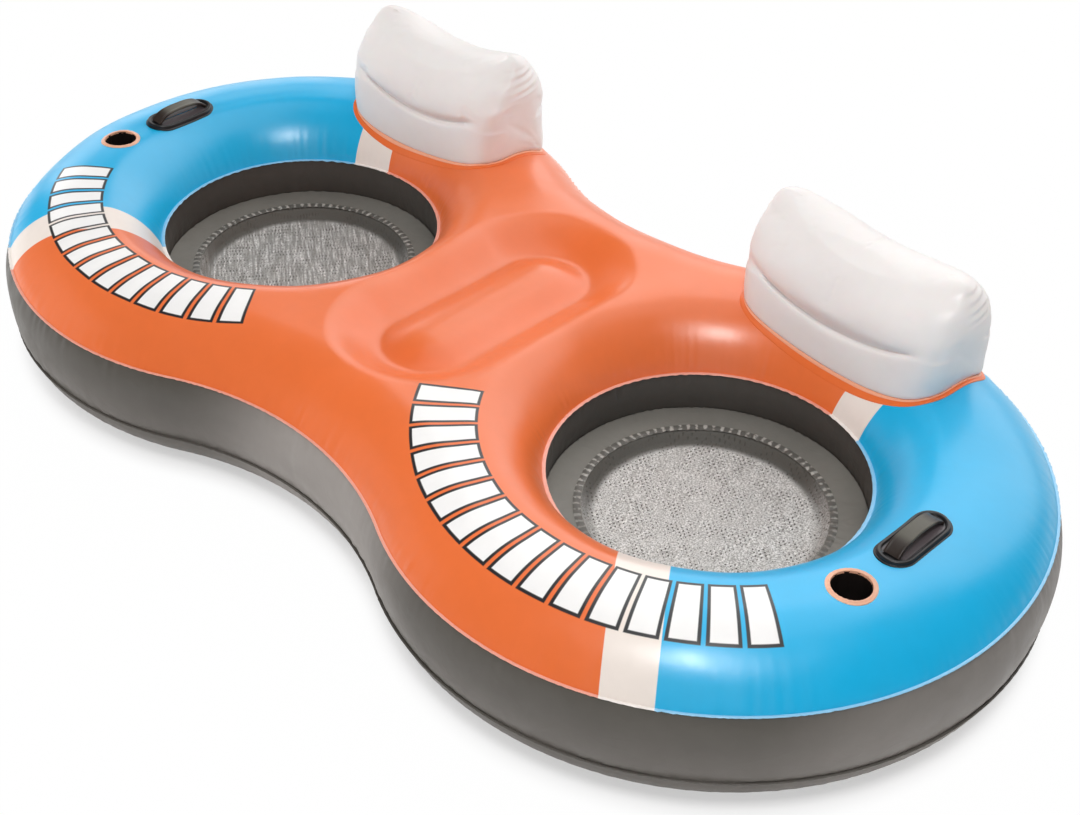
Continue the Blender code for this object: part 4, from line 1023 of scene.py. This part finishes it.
def makeHandle(side, sign):
    cx = sign * (tube["halfSpacing"] + handle["ring"])
    rows = []
    for inward, up in smoothLine(handle["base"], 54):
        x, y = (stadiumLoop(inward) + [cx, 0.0]).T
        rows.append(np.c_[x, y, skinHeight(x, y) + up])
    gridPiece("handleBase_" + side, rows, handleVinyl, "black_vinyl", "handle_base_" + side)

    # the grip: a strap with thick edges, arched between two feet
    arch = [*handle["arch"], *((-y, z) for y, z in handle["arch"][-2::-1])]
    path = smoothLine(arch, 80)
    tangent = np.gradient(path, axis=0)
    tangent /= np.linalg.norm(tangent, axis=1)[:, None]
    turn = np.linspace(0, 2 * math.pi, 48, endpoint=False)
    c, s = np.cos(turn), np.sin(turn)
    across = np.copysign(np.abs(c) ** 0.35, c) * handle["gripWidth"]
    thick = np.copysign(np.abs(s) ** 0.6, s) * handle["gripThick"]
    thick = thick + (thick > 0) * handle["gripEdge"] * smoothStep(np.abs(across), 0.009, 0.0135)
    base = float(skinHeight(np.array(cx), np.array(0.0)))
    rows = []
    for (y, z), (ahead, rise) in zip(path, tangent):
        wideness = 1.0 - 0.10 * (1 - abs(y) / handle["reach"])
        rows.append(np.c_[cx + across * wideness, y - rise * thick, base + z + ahead * thick])
    gridPiece("handleGrip_" + side, rows, gripRubber, "charcoal_rubber", "handle_grip_" + side)


handleLook = {"cloud": 0.2, "crease": 0.6, "depth": 0.0005}
gripRubber = vinylMaterial("gripRubber", gripColour, sheen=(0.38, 0.52), **handleLook)
handleVinyl = vinylMaterial("handleVinyl", baseColour, sheen=(0.29, 0.42), **handleLook)
for side, sign in sides.items():
    makeHandle(side, sign)
print("stage: handles made")


# Backrests

backrest = {
    "centreY": 0.435,
    "columns": 260,
    "rows": 110,
    "turn": math.radians(2.2),
    "border": 0.0135,
    "left": {"foot": 0.008, "top": 0.006, "wide": 0.960, "crease": 0.012, "lobe": 0.014, "tilt": -0.003},
    "right": {"foot": 0.007, "top": -0.006, "wide": 0.995, "crease": 0.0, "lobe": 0.0, "tilt": 0.007},
    # height at the middle, half width, front depth, back depth, squareness, rise of the ends,
    # notch, dish, bow of the front, share of the upper shift, share of the crease's lift
    "loops": [
        (0.268, 0.228, 0.102, 0.098, 0.42, 0.000, 0.00, 0.00, 0.26, 0.0, 0.0),
        (0.273, 0.233, 0.106, 0.101, 0.42, 0.006, 0.00, 0.00, 0.26, 0.0, 0.1),
        (0.302, 0.236, 0.108, 0.102, 0.44, 0.036, 0.00, 0.00, 0.24, 0.1, 0.5),
        (0.340, 0.2390, 0.1075, 0.102, 0.48, 0.064, 0.015, 0.00, 0.20, 0.2, 1.0),
        (0.3485, 0.2400, 0.1080, 0.102, 0.49, 0.068, 0.12, 0.00, 0.19, 0.3, 1.0),
        (0.3565, 0.2410, 0.1090, 0.102, 0.50, 0.066, 0.06, 0.00, 0.17, 0.3, 1.0),
        (0.376, 0.242, 0.112, 0.102, 0.52, 0.050, 0.00, 0.00, 0.12, 0.4, 0.7),
        (0.400, 0.243, 0.114, 0.101, 0.54, 0.028, 0.00, 0.00, 0.06, 0.4, 0.3),
        (0.424, 0.243, 0.110, 0.099, 0.56, 0.013, 0.00, 0.00, 0.02, 0.5, 0.1),
        (0.446, 0.241, 0.098, 0.094, 0.57, 0.008, 0.00, 0.03, 0.00, 0.6, 0.0),
        (0.463, 0.236, 0.078, 0.086, 0.58, 0.011, 0.00, 0.10, 0.00, 0.7, 0.0),
        (0.476, 0.228, 0.050, 0.074, 0.60, 0.018, 0.00, 0.20, 0.00, 0.9, 0.0),
        (0.485, 0.215, 0.022, 0.058, 0.61, 0.026, 0.00, 0.30, 0.00, 1.0, 0.0),
        (0.4895, 0.194, -0.006, 0.042, 0.66, 0.022, 0.00, 0.00, 0.00, 1.0, 0.0),
        (0.4900, 0.166, -0.020, 0.030, 0.70, 0.014, 0.00, 0.00, 0.00, 1.0, 0.0),
    ],
    # share of the move onto the tube for each of the first loops, and the foot's gap above the skin
    "settle": (1.0, 0.95, 0.55, 0.12, 0.04),
    "footGap": 0.0022,
    "pucker": {"pitch": 0.0160, "size": 0.0019, "low": 0.430, "high": 0.502},
    # where the crease lies among the rows, its reach, and the cloth run's length and travel
    "creaseRow": 0.30,
    "creaseReach": 0.045,
    "frames": 20,
    "travel": 0.008,
    "cloth": {
        "quality": 6,
        "mass": 0.15,
        "tension_stiffness": 40,
        "compression_stiffness": 40,
        "shear_stiffness": 20,
        "bending_stiffness": 2.0,
        "use_pressure": True,
        "uniform_pressure_force": 4.0,
        "vertex_group_mass": "held",
    },
}


def evenAngles(halfWidth, depth, square, count):
    # Angles that spread the columns evenly round a rounded oblong.
    turn = np.linspace(0, 2 * math.pi, 2881)
    c, s = np.cos(turn), np.sin(turn)
    at = lengthAlong(np.c_[halfWidth * np.sign(c) * np.abs(c) ** square, depth * np.sign(s) * np.abs(s) ** square])
    return np.interp(np.linspace(0, at[-1], count, endpoint=False), at, turn)


def cushionRings(own, sign):
    angles = evenAngles(0.240, 0.106, 0.50, backrest["columns"])
    c, s = np.cos(angles), np.sin(angles)
    turn = -backrest["turn"] * sign
    rings = []
    for height, wide, front, back, square, rise, notch, dish, bow, upper, lift in backrest["loops"]:
        wide = wide * own["wide"]
        x = wide * np.sign(c) * np.abs(c) ** square
        along = np.sign(s) * np.abs(s) ** square
        u = x / wide
        facing = np.where(s < 0, np.abs(along), 0.0)
        y = np.where(s > 0, back, front) * along
        y = y * (1 - notch * (1 - smoothStep(u, 0.60, 0.92)) * (1 - smoothStep(-u, 0.80, 0.98)) * facing)
        y = y * (1 - dish * np.clip(1 - (u / 0.9) ** 2, 0, 1) * facing)
        y = np.where(s < 0, y * (1 + bow * u**2), y)
        z = height + rise * u**2 - upper * u * own["tilt"] + lift * own["crease"] + upper * own["lobe"] * (u**2 - 0.15)
        x = x + own["foot"] + (own["top"] - own["foot"]) * upper
        x, y = x * math.cos(turn) - y * math.sin(turn), x * math.sin(turn) + y * math.cos(turn)
        rings.append(np.stack([x + sign * tube["halfSpacing"], y + backrest["centreY"], z], 1))
    rings = np.array(rings)
    move = skinHeight(rings[0, :, 0], rings[0, :, 1]) + backrest["footGap"] - rings[0, :, 2]
    for ring, share in zip(rings, backrest["settle"]):
        ring[:, 2] += move * share
    return rings


def readPlaces(mesh):
    places = np.empty(len(mesh.vertices) * 3)
    mesh.vertices.foreach_get("co", places)
    return places.reshape(-1, 3)


def writePlaces(piece, places):
    piece.data.vertices.foreach_set("co", np.asarray(places, float).ravel())
    piece.data.update()


def closeTop(piece):
    # Sew the last ring shut, each point to the one across it.
    columns = backrest["columns"]

    def change(shape):
        shape.verts.ensure_lookup_table()
        first = len(shape.verts) - columns
        for step in range(columns // 2):
            corners = [step, step + 1, columns - step - 1, (columns - step) % columns]
            unique = list(dict.fromkeys(first + corner for corner in corners))
            if len(unique) > 2:
                shape.faces.new([shape.verts[index] for index in unique]).smooth = True
        bmesh.ops.recalc_face_normals(shape, faces=shape.faces)

    editMesh(piece, change)


def roundEnds(piece, middle):
    # Ease the ends of the top seam, and then the upper corners.
    def change(shape):
        seamEnds, corners = [], []
        for point in shape.verts:
            out = abs(point.co.x - middle[0])
            if abs(out - 0.170) < 0.060 and point.co.z > middle[2] - 0.024:
                seamEnds.append(point)
            if out > 0.150 and point.co.z > 0.385:
                corners.append(point)
        axes = {"use_axis_x": True, "use_axis_y": True, "use_axis_z": True}
        for soft, times in ((seamEnds, 90), (corners, 36)):
            for _ in range(times):
                bmesh.ops.smooth_vert(shape, verts=soft, factor=0.5, **axes)

    editMesh(piece, change)


def blowUp(piece, rowCount):
    # Air pressure as a short cloth run: the foot and the crease are held, the rest swells a little.
    start = readPlaces(piece.data)
    row = np.arange(len(start)) // backrest["columns"]
    crease = np.exp(-(((row / rowCount) - backrest["creaseRow"]) / backrest["creaseReach"]) ** 2)
    inFront = (start[:, 1] - backrest["centreY"] < -0.05) & (row < rowCount)
    held = np.where(row < 3, 1.0, np.where(inFront, crease, 0.0))
    group = piece.vertex_groups.new(name="held")
    for index in np.nonzero(held > 0.02)[0]:
        group.add([int(index)], float(min(held[index], 1.0)), "REPLACE")
    cloth = piece.modifiers.new("air", "CLOTH")
    for name, value in backrest["cloth"].items():
        setattr(cloth.settings, name, value)
    cloth.settings.effector_weights.gravity = 0
    cloth.collision_settings.use_collision = False
    cloth.point_cache.frame_end = backrest["frames"]
    scene = bpy.context.scene
    for step in range(1, backrest["frames"] + 1):
        scene.frame_set(step)
    solved = piece.evaluated_get(bpy.context.evaluated_depsgraph_get()).to_mesh()
    travel = readPlaces(solved) - start
    piece.modifiers.remove(cloth)
    piece.vertex_groups.clear()
    scene.frame_set(1)
    length = np.linalg.norm(travel, axis=1)
    print("cushion travel mm", round(float(length.max()) * 1000, 2), round(float(length.mean()) * 1000, 2))
    share = np.minimum(1.0, backrest["travel"] / np.maximum(length, 1e-9))
    writePlaces(piece, start + travel * share[:, None])


def makeCushion(side, sign):
    own, pucker = backrest[side], backrest["pucker"]
    rings = cushionRings(own, sign)
    lines = [smoothLine(rings[:, k], backrest["rows"]) for k in range(backrest["columns"])]
    rows = np.stack(lines, 1)
    x, y, z = rows[..., 0] - sign * tube["halfSpacing"], rows[..., 1] - backrest["centreY"], rows[..., 2]
    # short folds across the end seams, and slow swells
    high = z - own["lobe"] * (np.abs(x) / 0.24) ** 2
    low, top = pucker["low"], pucker["high"]
    near = smoothStep(high, low, low + 0.012) * (1 - smoothStep(high, top - 0.01, top))
    near = near * smoothStep(np.abs(x), 0.180, 0.215) * np.exp(-(((y - 0.008) / 0.034) ** 2))
    fold = np.sin(2 * math.pi * (z - 0.15 * y) / pucker["pitch"] + 0.5 * np.sin(x * 40)) * near * pucker["size"]
    swell = waves(rows[..., 0] + z * 0.7, rows[..., 1] + z, 7, 0.09, 0.24, 401) * 0.0011
    swell = swell * smoothStep(z - rows[:1, :, 2], 0.004, 0.05)
    out = np.stack([x / 0.24, y / 0.11, np.zeros_like(x)], -1)
    out = out / np.maximum(np.linalg.norm(out, axis=-1, keepdims=True), 1e-6)
    stand = "backrest_cushion_" + side
    piece = gridPiece("cushion_" + side, rows, made["whiteVinyl"], "white_vinyl", stand)
    closeTop(piece)
    roundEnds(piece, rows[-1].mean(0))
    blowUp(piece, len(rows))
    places = readPlaces(piece.data)
    places[: x.size] += (out * (fold + swell)[..., None]).reshape(-1, 3)
    writePlaces(piece, settleAtValves(places, "backrest"))
    openAtValves(piece, "backrest")
    return rings[0, :, :2]


def loopOut(loop, reach):
    # A closed plan loop moved outwards by reach.
    ahead = np.roll(loop, -1, 0) - np.roll(loop, 1, 0)
    outward = np.c_[ahead[:, 1], -ahead[:, 0]] / np.linalg.norm(ahead, axis=1)[:, None]
    return loop + outward * reach


def makeBasePanel(side, sign, foot):
    foot = spread(np.vstack([foot, foot[:1]]), 420, closed=True)
    along = lengthAlong(np.vstack([foot, foot[:1]]))[:-1]
    edge = backrest["border"]

    def rowAt(reach, up):
        loop = loopOut(foot, reach)
        return np.c_[loop, onSkin(*loop.T) + up]

    profile = ((edge, 0.0), (edge, 0.0012), (edge - 0.0006, 0.0016), (edge * 0.5, 0.0015))
    rows = [rowAt(*place) for place in (*profile, (0.0, 0.0015), (-0.02, 0.0014), (-0.05, 0.0014))]
    gridPiece("backrestBase_" + side, rows, made["orangeVinyl"], "orange_vinyl", "backrest_base_" + side)
    # bright bead where the cushion's foot is welded on
    wave = puckers(along, 301 + sign, 0.008, 0.02) * 0.0004
    rows = []
    for turn in np.linspace(0, math.pi, 9):
        up = 0.0016 + (0.0020 + wave) * math.sin(turn)
        rows.append(rowAt(0.0022 + 0.0030 * math.cos(turn), up))
    gridPiece("cushionWeld_" + side, rows, made["salmonWeld"], "orange_vinyl")


for side, sign in sides.items():
    makeBasePanel(side, sign, makeCushion(side, sign))
print("stage: backrests made")


# Air valves

valve = {
    # the ring: changes from the flange's radius with heights, then the radii of its bore
    "ring": ((0.0, -0.0008), (0.0, 0.0003), (-0.0006, 0.0008), (-0.0020, 0.0011), (-0.0026, 0.0008), (-0.0032, 0.0011)),
    "bore": ((0.0100, 0.0012), (0.0069, 0.0014), (0.0065, 0.0012), (0.0063, 0.0007), (0.0064, -0.0002)),
    # each part: a turned profile, a block's middle and size, and bars' middles, radius and length
    "tube": {
        "body": "_stem",
        "profile": (
            (0.0040, -0.0167), (0.0040, 0.0029), (0.0044, 0.0033), (0.0074, 0.0033), (0.0078, 0.0029),
            (0.0078, 0.0021), (0.0075, 0.0018), (0.0060, 0.0018), (0.0060, -0.0152), (0.0075, -0.0152),
            (0.0078, -0.0155), (0.0078, -0.0164), (0.0075, -0.0167), (0.0040, -0.0167),
        ),
        "block": ((0.0, 0.0093, 0.00255), (0.0074, 0.0056, 0.00145)),
        "bars": (((-0.0024, 0.0105, 0.0046), 0.0016, 0.0012), ((0.0024, 0.0105, 0.0046), 0.0016, 0.0012)),
        "flapBars": (((-0.0024, 0.0068, -0.0177), 0.0013, 0.0012), ((0.0024, 0.0068, -0.0177), 0.0013, 0.0012)),
    },
    "lid": {
        "body": "_cap",
        "profile": (
            (0.00001, 0.0006), (0.0026, 0.0006), (0.0030, 0.0010), (0.0030, 0.0036), (0.0069, 0.0036), (0.0072, 0.0039),
            (0.0071, 0.0049), (0.0068, 0.0052), (0.0060, 0.0052), (0.0057, 0.0048), (0.00001, 0.0047),
        ),
        "block": ((0.0, 0.0085, 0.0046), (0.0030, 0.0040, 0.0010)),
        "bars": (((0.0, 0.0105, 0.0046), 0.0010, 0.0030),),
    },
    "leaf": {
        "body": "_flap",
        "profile": (
            (0.00001, -0.0181), (0.0048, -0.0181), (0.0050, -0.0179), (0.0050, -0.0175), (0.0048, -0.0173),
            (0.00001, -0.0173),
        ),
        "block": ((0.0, 0.00565, -0.0177), (0.0030, 0.0023, 0.0006)),
        "bars": (((0.0, 0.0068, -0.0177), 0.0007, 0.0030),),
    },
}


def turnedPart(profile, columns=48):
    return turned(profile, (0.0, 0.0), columns).reshape(-1, 3), gridQuads(len(profile), columns)


def blockPart(middle, size):
    shape = bmesh.new()
    bmesh.ops.create_cube(shape, size=1.0)
    bmesh.ops.scale(shape, vec=Vector(size), verts=shape.verts)
    bmesh.ops.bevel(shape, geom=shape.edges[:], offset=0.0002, segments=2, profile=0.6, affect="EDGES")
    points = np.array([v.co for v in shape.verts]) + np.array(middle)
    faces = [[v.index for v in f.verts] for f in shape.faces]
    shape.free()
    return points, faces


def barPart(middle, radius, length):
    # A round bar along X with rounded ends.
    half = length / 2
    profile = [(0.00001, -half), (radius - 0.0002, -half), (radius, -half + 0.0002)]
    profile += [(radius, half - 0.0002), (radius - 0.0002, half), (0.00001, half)]
    points, faces = turnedPart(profile, 20)
    return np.c_[points[:, 2], points[:, 1], -points[:, 0]] + np.array(middle), faces


def assemble(name, parts, place, outward, material, body, stand, slot):
    points, faces, count = [], [], 0
    for partPoints, partFaces in parts:
        points.append(partPoints)
        faces += [[int(index) + count for index in face] for face in partFaces]
        count += len(partPoints)
    points = np.vstack(points) @ valveAxes(outward) + place
    piece = makePiece(name, points, faces, material, slot, stand, body=body)
    mergeDoubles(piece, 0.000005)
    piece.data.set_sharp_from_angle(angle=math.radians(40))


def makeValve(name, place, outward, flange):
    grey = name.startswith("main")
    sheet, slot = (made["greyVinyl"], "grey_vinyl") if grey else (made["whiteVinyl"], "white_vinyl")
    ring = [turnedPart(shifted(valve["ring"], flange, 0.0) + list(valve["bore"]), 72)]
    assemble(name + "_ring", ring, place, outward, sheet, rootBody, name + "_flange", slot)
    for kind in ("tube", "lid", "leaf") if grey else ("tube", "lid"):
        own = valve[kind]
        bars = own["bars"]
        if grey and "flapBars" in own:
            bars = [bar for pair in zip(bars, own["flapBars"]) for bar in pair]
        parts = [turnedPart(own["profile"][::-1]), blockPart(*own["block"]), *(barPart(*bar) for bar in bars)]
        node = name + own["body"]
        assemble(name + "_" + kind, parts, place, outward, made["milkyPlastic"], node, node, "valve_plastic")


for valvePlace in valvePlaces():
    makeValve(*valvePlace)
print("stage: valves made")


# Inner webs

webs = {"reach": 0.45, "tieReach": 0.145, "tieX": 0.100, "bow": 0.003, "gap": 0.002}


def makeWeb(name, stand, x, reach, columns, rowCount, low, swing):
    # An upright sheet along Y from low to just under the top skin, a little bowed.
    ys = np.linspace(-reach, reach, columns)
    xs = np.full_like(ys, x)
    high = skinHeight(xs, ys) - webs["gap"]
    rows = []
    for share in np.linspace(0, 1, rowCount):
        bow = webs["bow"] * math.sin(math.pi * share) * swing(ys)
        rows.append(np.c_[xs + bow, ys, low(ys) + webs["gap"] + (high - low(ys) - webs["gap"]) * share])
    gridPiece(name, rows, made["whiteVinyl"], "white_vinyl", stand, closed=False)


divider = (webs["reach"], 91, 25, lambda ys: bottomHeight(0.0 * ys, ys), lambda ys: np.cos(ys * math.pi))
makeWeb("chamberDivider", "chamber_divider", 0.0, *divider)
for side, sign in sides.items():
    tie = (sign * webs["tieX"], webs["tieReach"], 40, 21, np.zeros_like, lambda ys: sign)
    makeWeb("tieWeb_" + side, "tie_web_" + side, *tie)
print("stage: webs made")


# Camera, light and floor

view = {"place": (2.0161, -1.9218, 2.1620), "yaw": 44.13, "pitch": 37.43, "roll": 1.12, "lens": 57.37}
lamps = {
    # bright sheets behind and on the left, a soft box above and two fills that show in no reflection
    "backSheet": {"place": (-0.6, 4.0, 2.6), "aim": (0.0, 0.0, 0.2), "size": (7.0, 4.6), "power": 173.0},
    "softBox": {"place": (1.72, -1.42, 3.45), "aim": (0.3, -0.1, 0.2), "size": (0.95, 0.95), "power": 60.0},
    "overhead": {"place": (0.0, 1.4, 4.3), "aim": (0.0, 0.0, 0.2), "size": (3.4, 3.4), "power": 41.0},
    "frontFill": {"place": (2.8, -3.0, 1.9), "aim": (0.2, -0.2, 0.2), "size": (2.6, 2.6), "power": 32.0},
    "leftFill": {"place": (-3.2, -2.2, 1.2), "aim": (0.0, 0.0, 0.2), "size": (2.4, 2.0), "power": 76.0},
    "leftSheet": {"place": (-5.2, 2.1, 1.25), "aim": (-0.6, 0.0, 0.2), "size": (3.2, 2.4), "power": 38.0},
}
studio = {"sky": (1.0, 0.99, 0.98, 1), "skyPower": 0.14, "white": (1.0, 1.0, 1.0, 1)}
ground = {
    "half": 30.0,
    "drop": 0.0005,
    "colour": (0.93, 0.925, 0.92, 1),
    # distance from the tube's outline over which the painted white glow seen by the camera grows, and from what share
    # to what
    "whitens": (-0.05, 0.014, 0.48, 0.99),
}


def addObject(name, data):
    item = bpy.data.objects.new(name, data)
    bpy.context.scene.collection.objects.link(item)
    return item


def makeCamera():
    yaw, pitch, roll = (math.radians(view[key]) for key in ("yaw", "pitch", "roll"))
    data = bpy.data.cameras.new("photoCamera")
    camera = addObject("photoCamera", data)
    turn = Matrix.Rotation(yaw, 4, "Z") @ Matrix.Rotation(math.pi / 2 - pitch, 4, "X") @ Matrix.Rotation(roll, 4, "Z")
    camera.matrix_world = Matrix.Translation(view["place"]) @ turn
    data.sensor_width = 36.0
    data.lens = view["lens"]
    data.clip_start = 0.01
    bpy.context.scene.camera = camera


def makeLight():
    for name, lamp in lamps.items():
        data = bpy.data.lights.new(name, "AREA")
        data.shape = "RECTANGLE"
        data.size, data.size_y = lamp["size"]
        data.energy = lamp["power"]
        light = addObject(name, data)
        light.location = lamp["place"]
        aim = Vector(lamp["aim"]) - Vector(lamp["place"])
        light.rotation_euler = aim.to_track_quat("-Z", "Y").to_euler()
        light.visible_glossy = not name.endswith("Fill")
    world = bpy.data.worlds.new("studio")
    bpy.context.scene.world = world
    world.use_nodes = True
    world.node_tree.nodes.clear()
    graph = Graph(world.node_tree)
    seen = graph.out("LightPath", output="Is Camera Ray")
    soft = graph.out("Background", {"Color": studio["sky"], "Strength": studio["skyPower"]})
    plain = graph.out("Background", {"Color": studio["white"], "Strength": 1.0})
    graph.node("OutputWorld", {"Surface": graph.out("MixShader", {0: seen, 1: soft, 2: plain})})


def makeFloor():
    half = ground["half"]
    mesh = bpy.data.meshes.new("floor")
    mesh.from_pydata([(-half, -half, 0), (half, -half, 0), (half, half, 0), (-half, half, 0)], [], [(0, 1, 2, 3)])
    floor = addObject("floor", mesh)
    floor.location.z = -ground["drop"]
    material, graph, shader = newMaterial("paleFloor")
    graph.give(shader.inputs, {"Base Color": ground["colour"], "Roughness": 0.9, "Specular IOR Level": 0.0})
    # seen by the camera, the floor is a painted white glow that hides its shadow away from the tube; the glow thins
    # near the outline, so the soft shadow shows there
    x, y, _ = graph.axes(graph.place())
    x, y = abs(x), abs(y)
    ring = graph.reach(x - tube["halfSpacing"], y) - tube["ringRadius"]
    waist = tube["arcRadius"] - graph.reach(x, y - tube["arcCentreY"])
    inWaist = graph.maths("LESS_THAN", x / tube["halfSpacing"] + y / tube["arcCentreY"], 1.0)
    distance = graph.out("Mix", {0: inWaist, 2: ring, 3: waist}, data_type="FLOAT")
    white = graph.eased(distance, *ground["whitens"])
    seen = graph.out("LightPath", output="Is Camera Ray")
    glow = graph.out("Emission", {"Color": studio["white"], "Strength": 1.0})
    mixed = graph.out("MixShader", {0: white * seen, 1: Wire(graph, shader.outputs[0]), 2: glow})
    graph.give(graph.tree.nodes["Material Output"].inputs, {"Surface": mixed})
    mesh.materials.append(material)


makeCamera()
makeLight()
makeFloor()
bpy.context.scene.view_settings.view_transform = "Standard"
print("stage: camera, light and floor made")

bpy.context.view_layer.update()
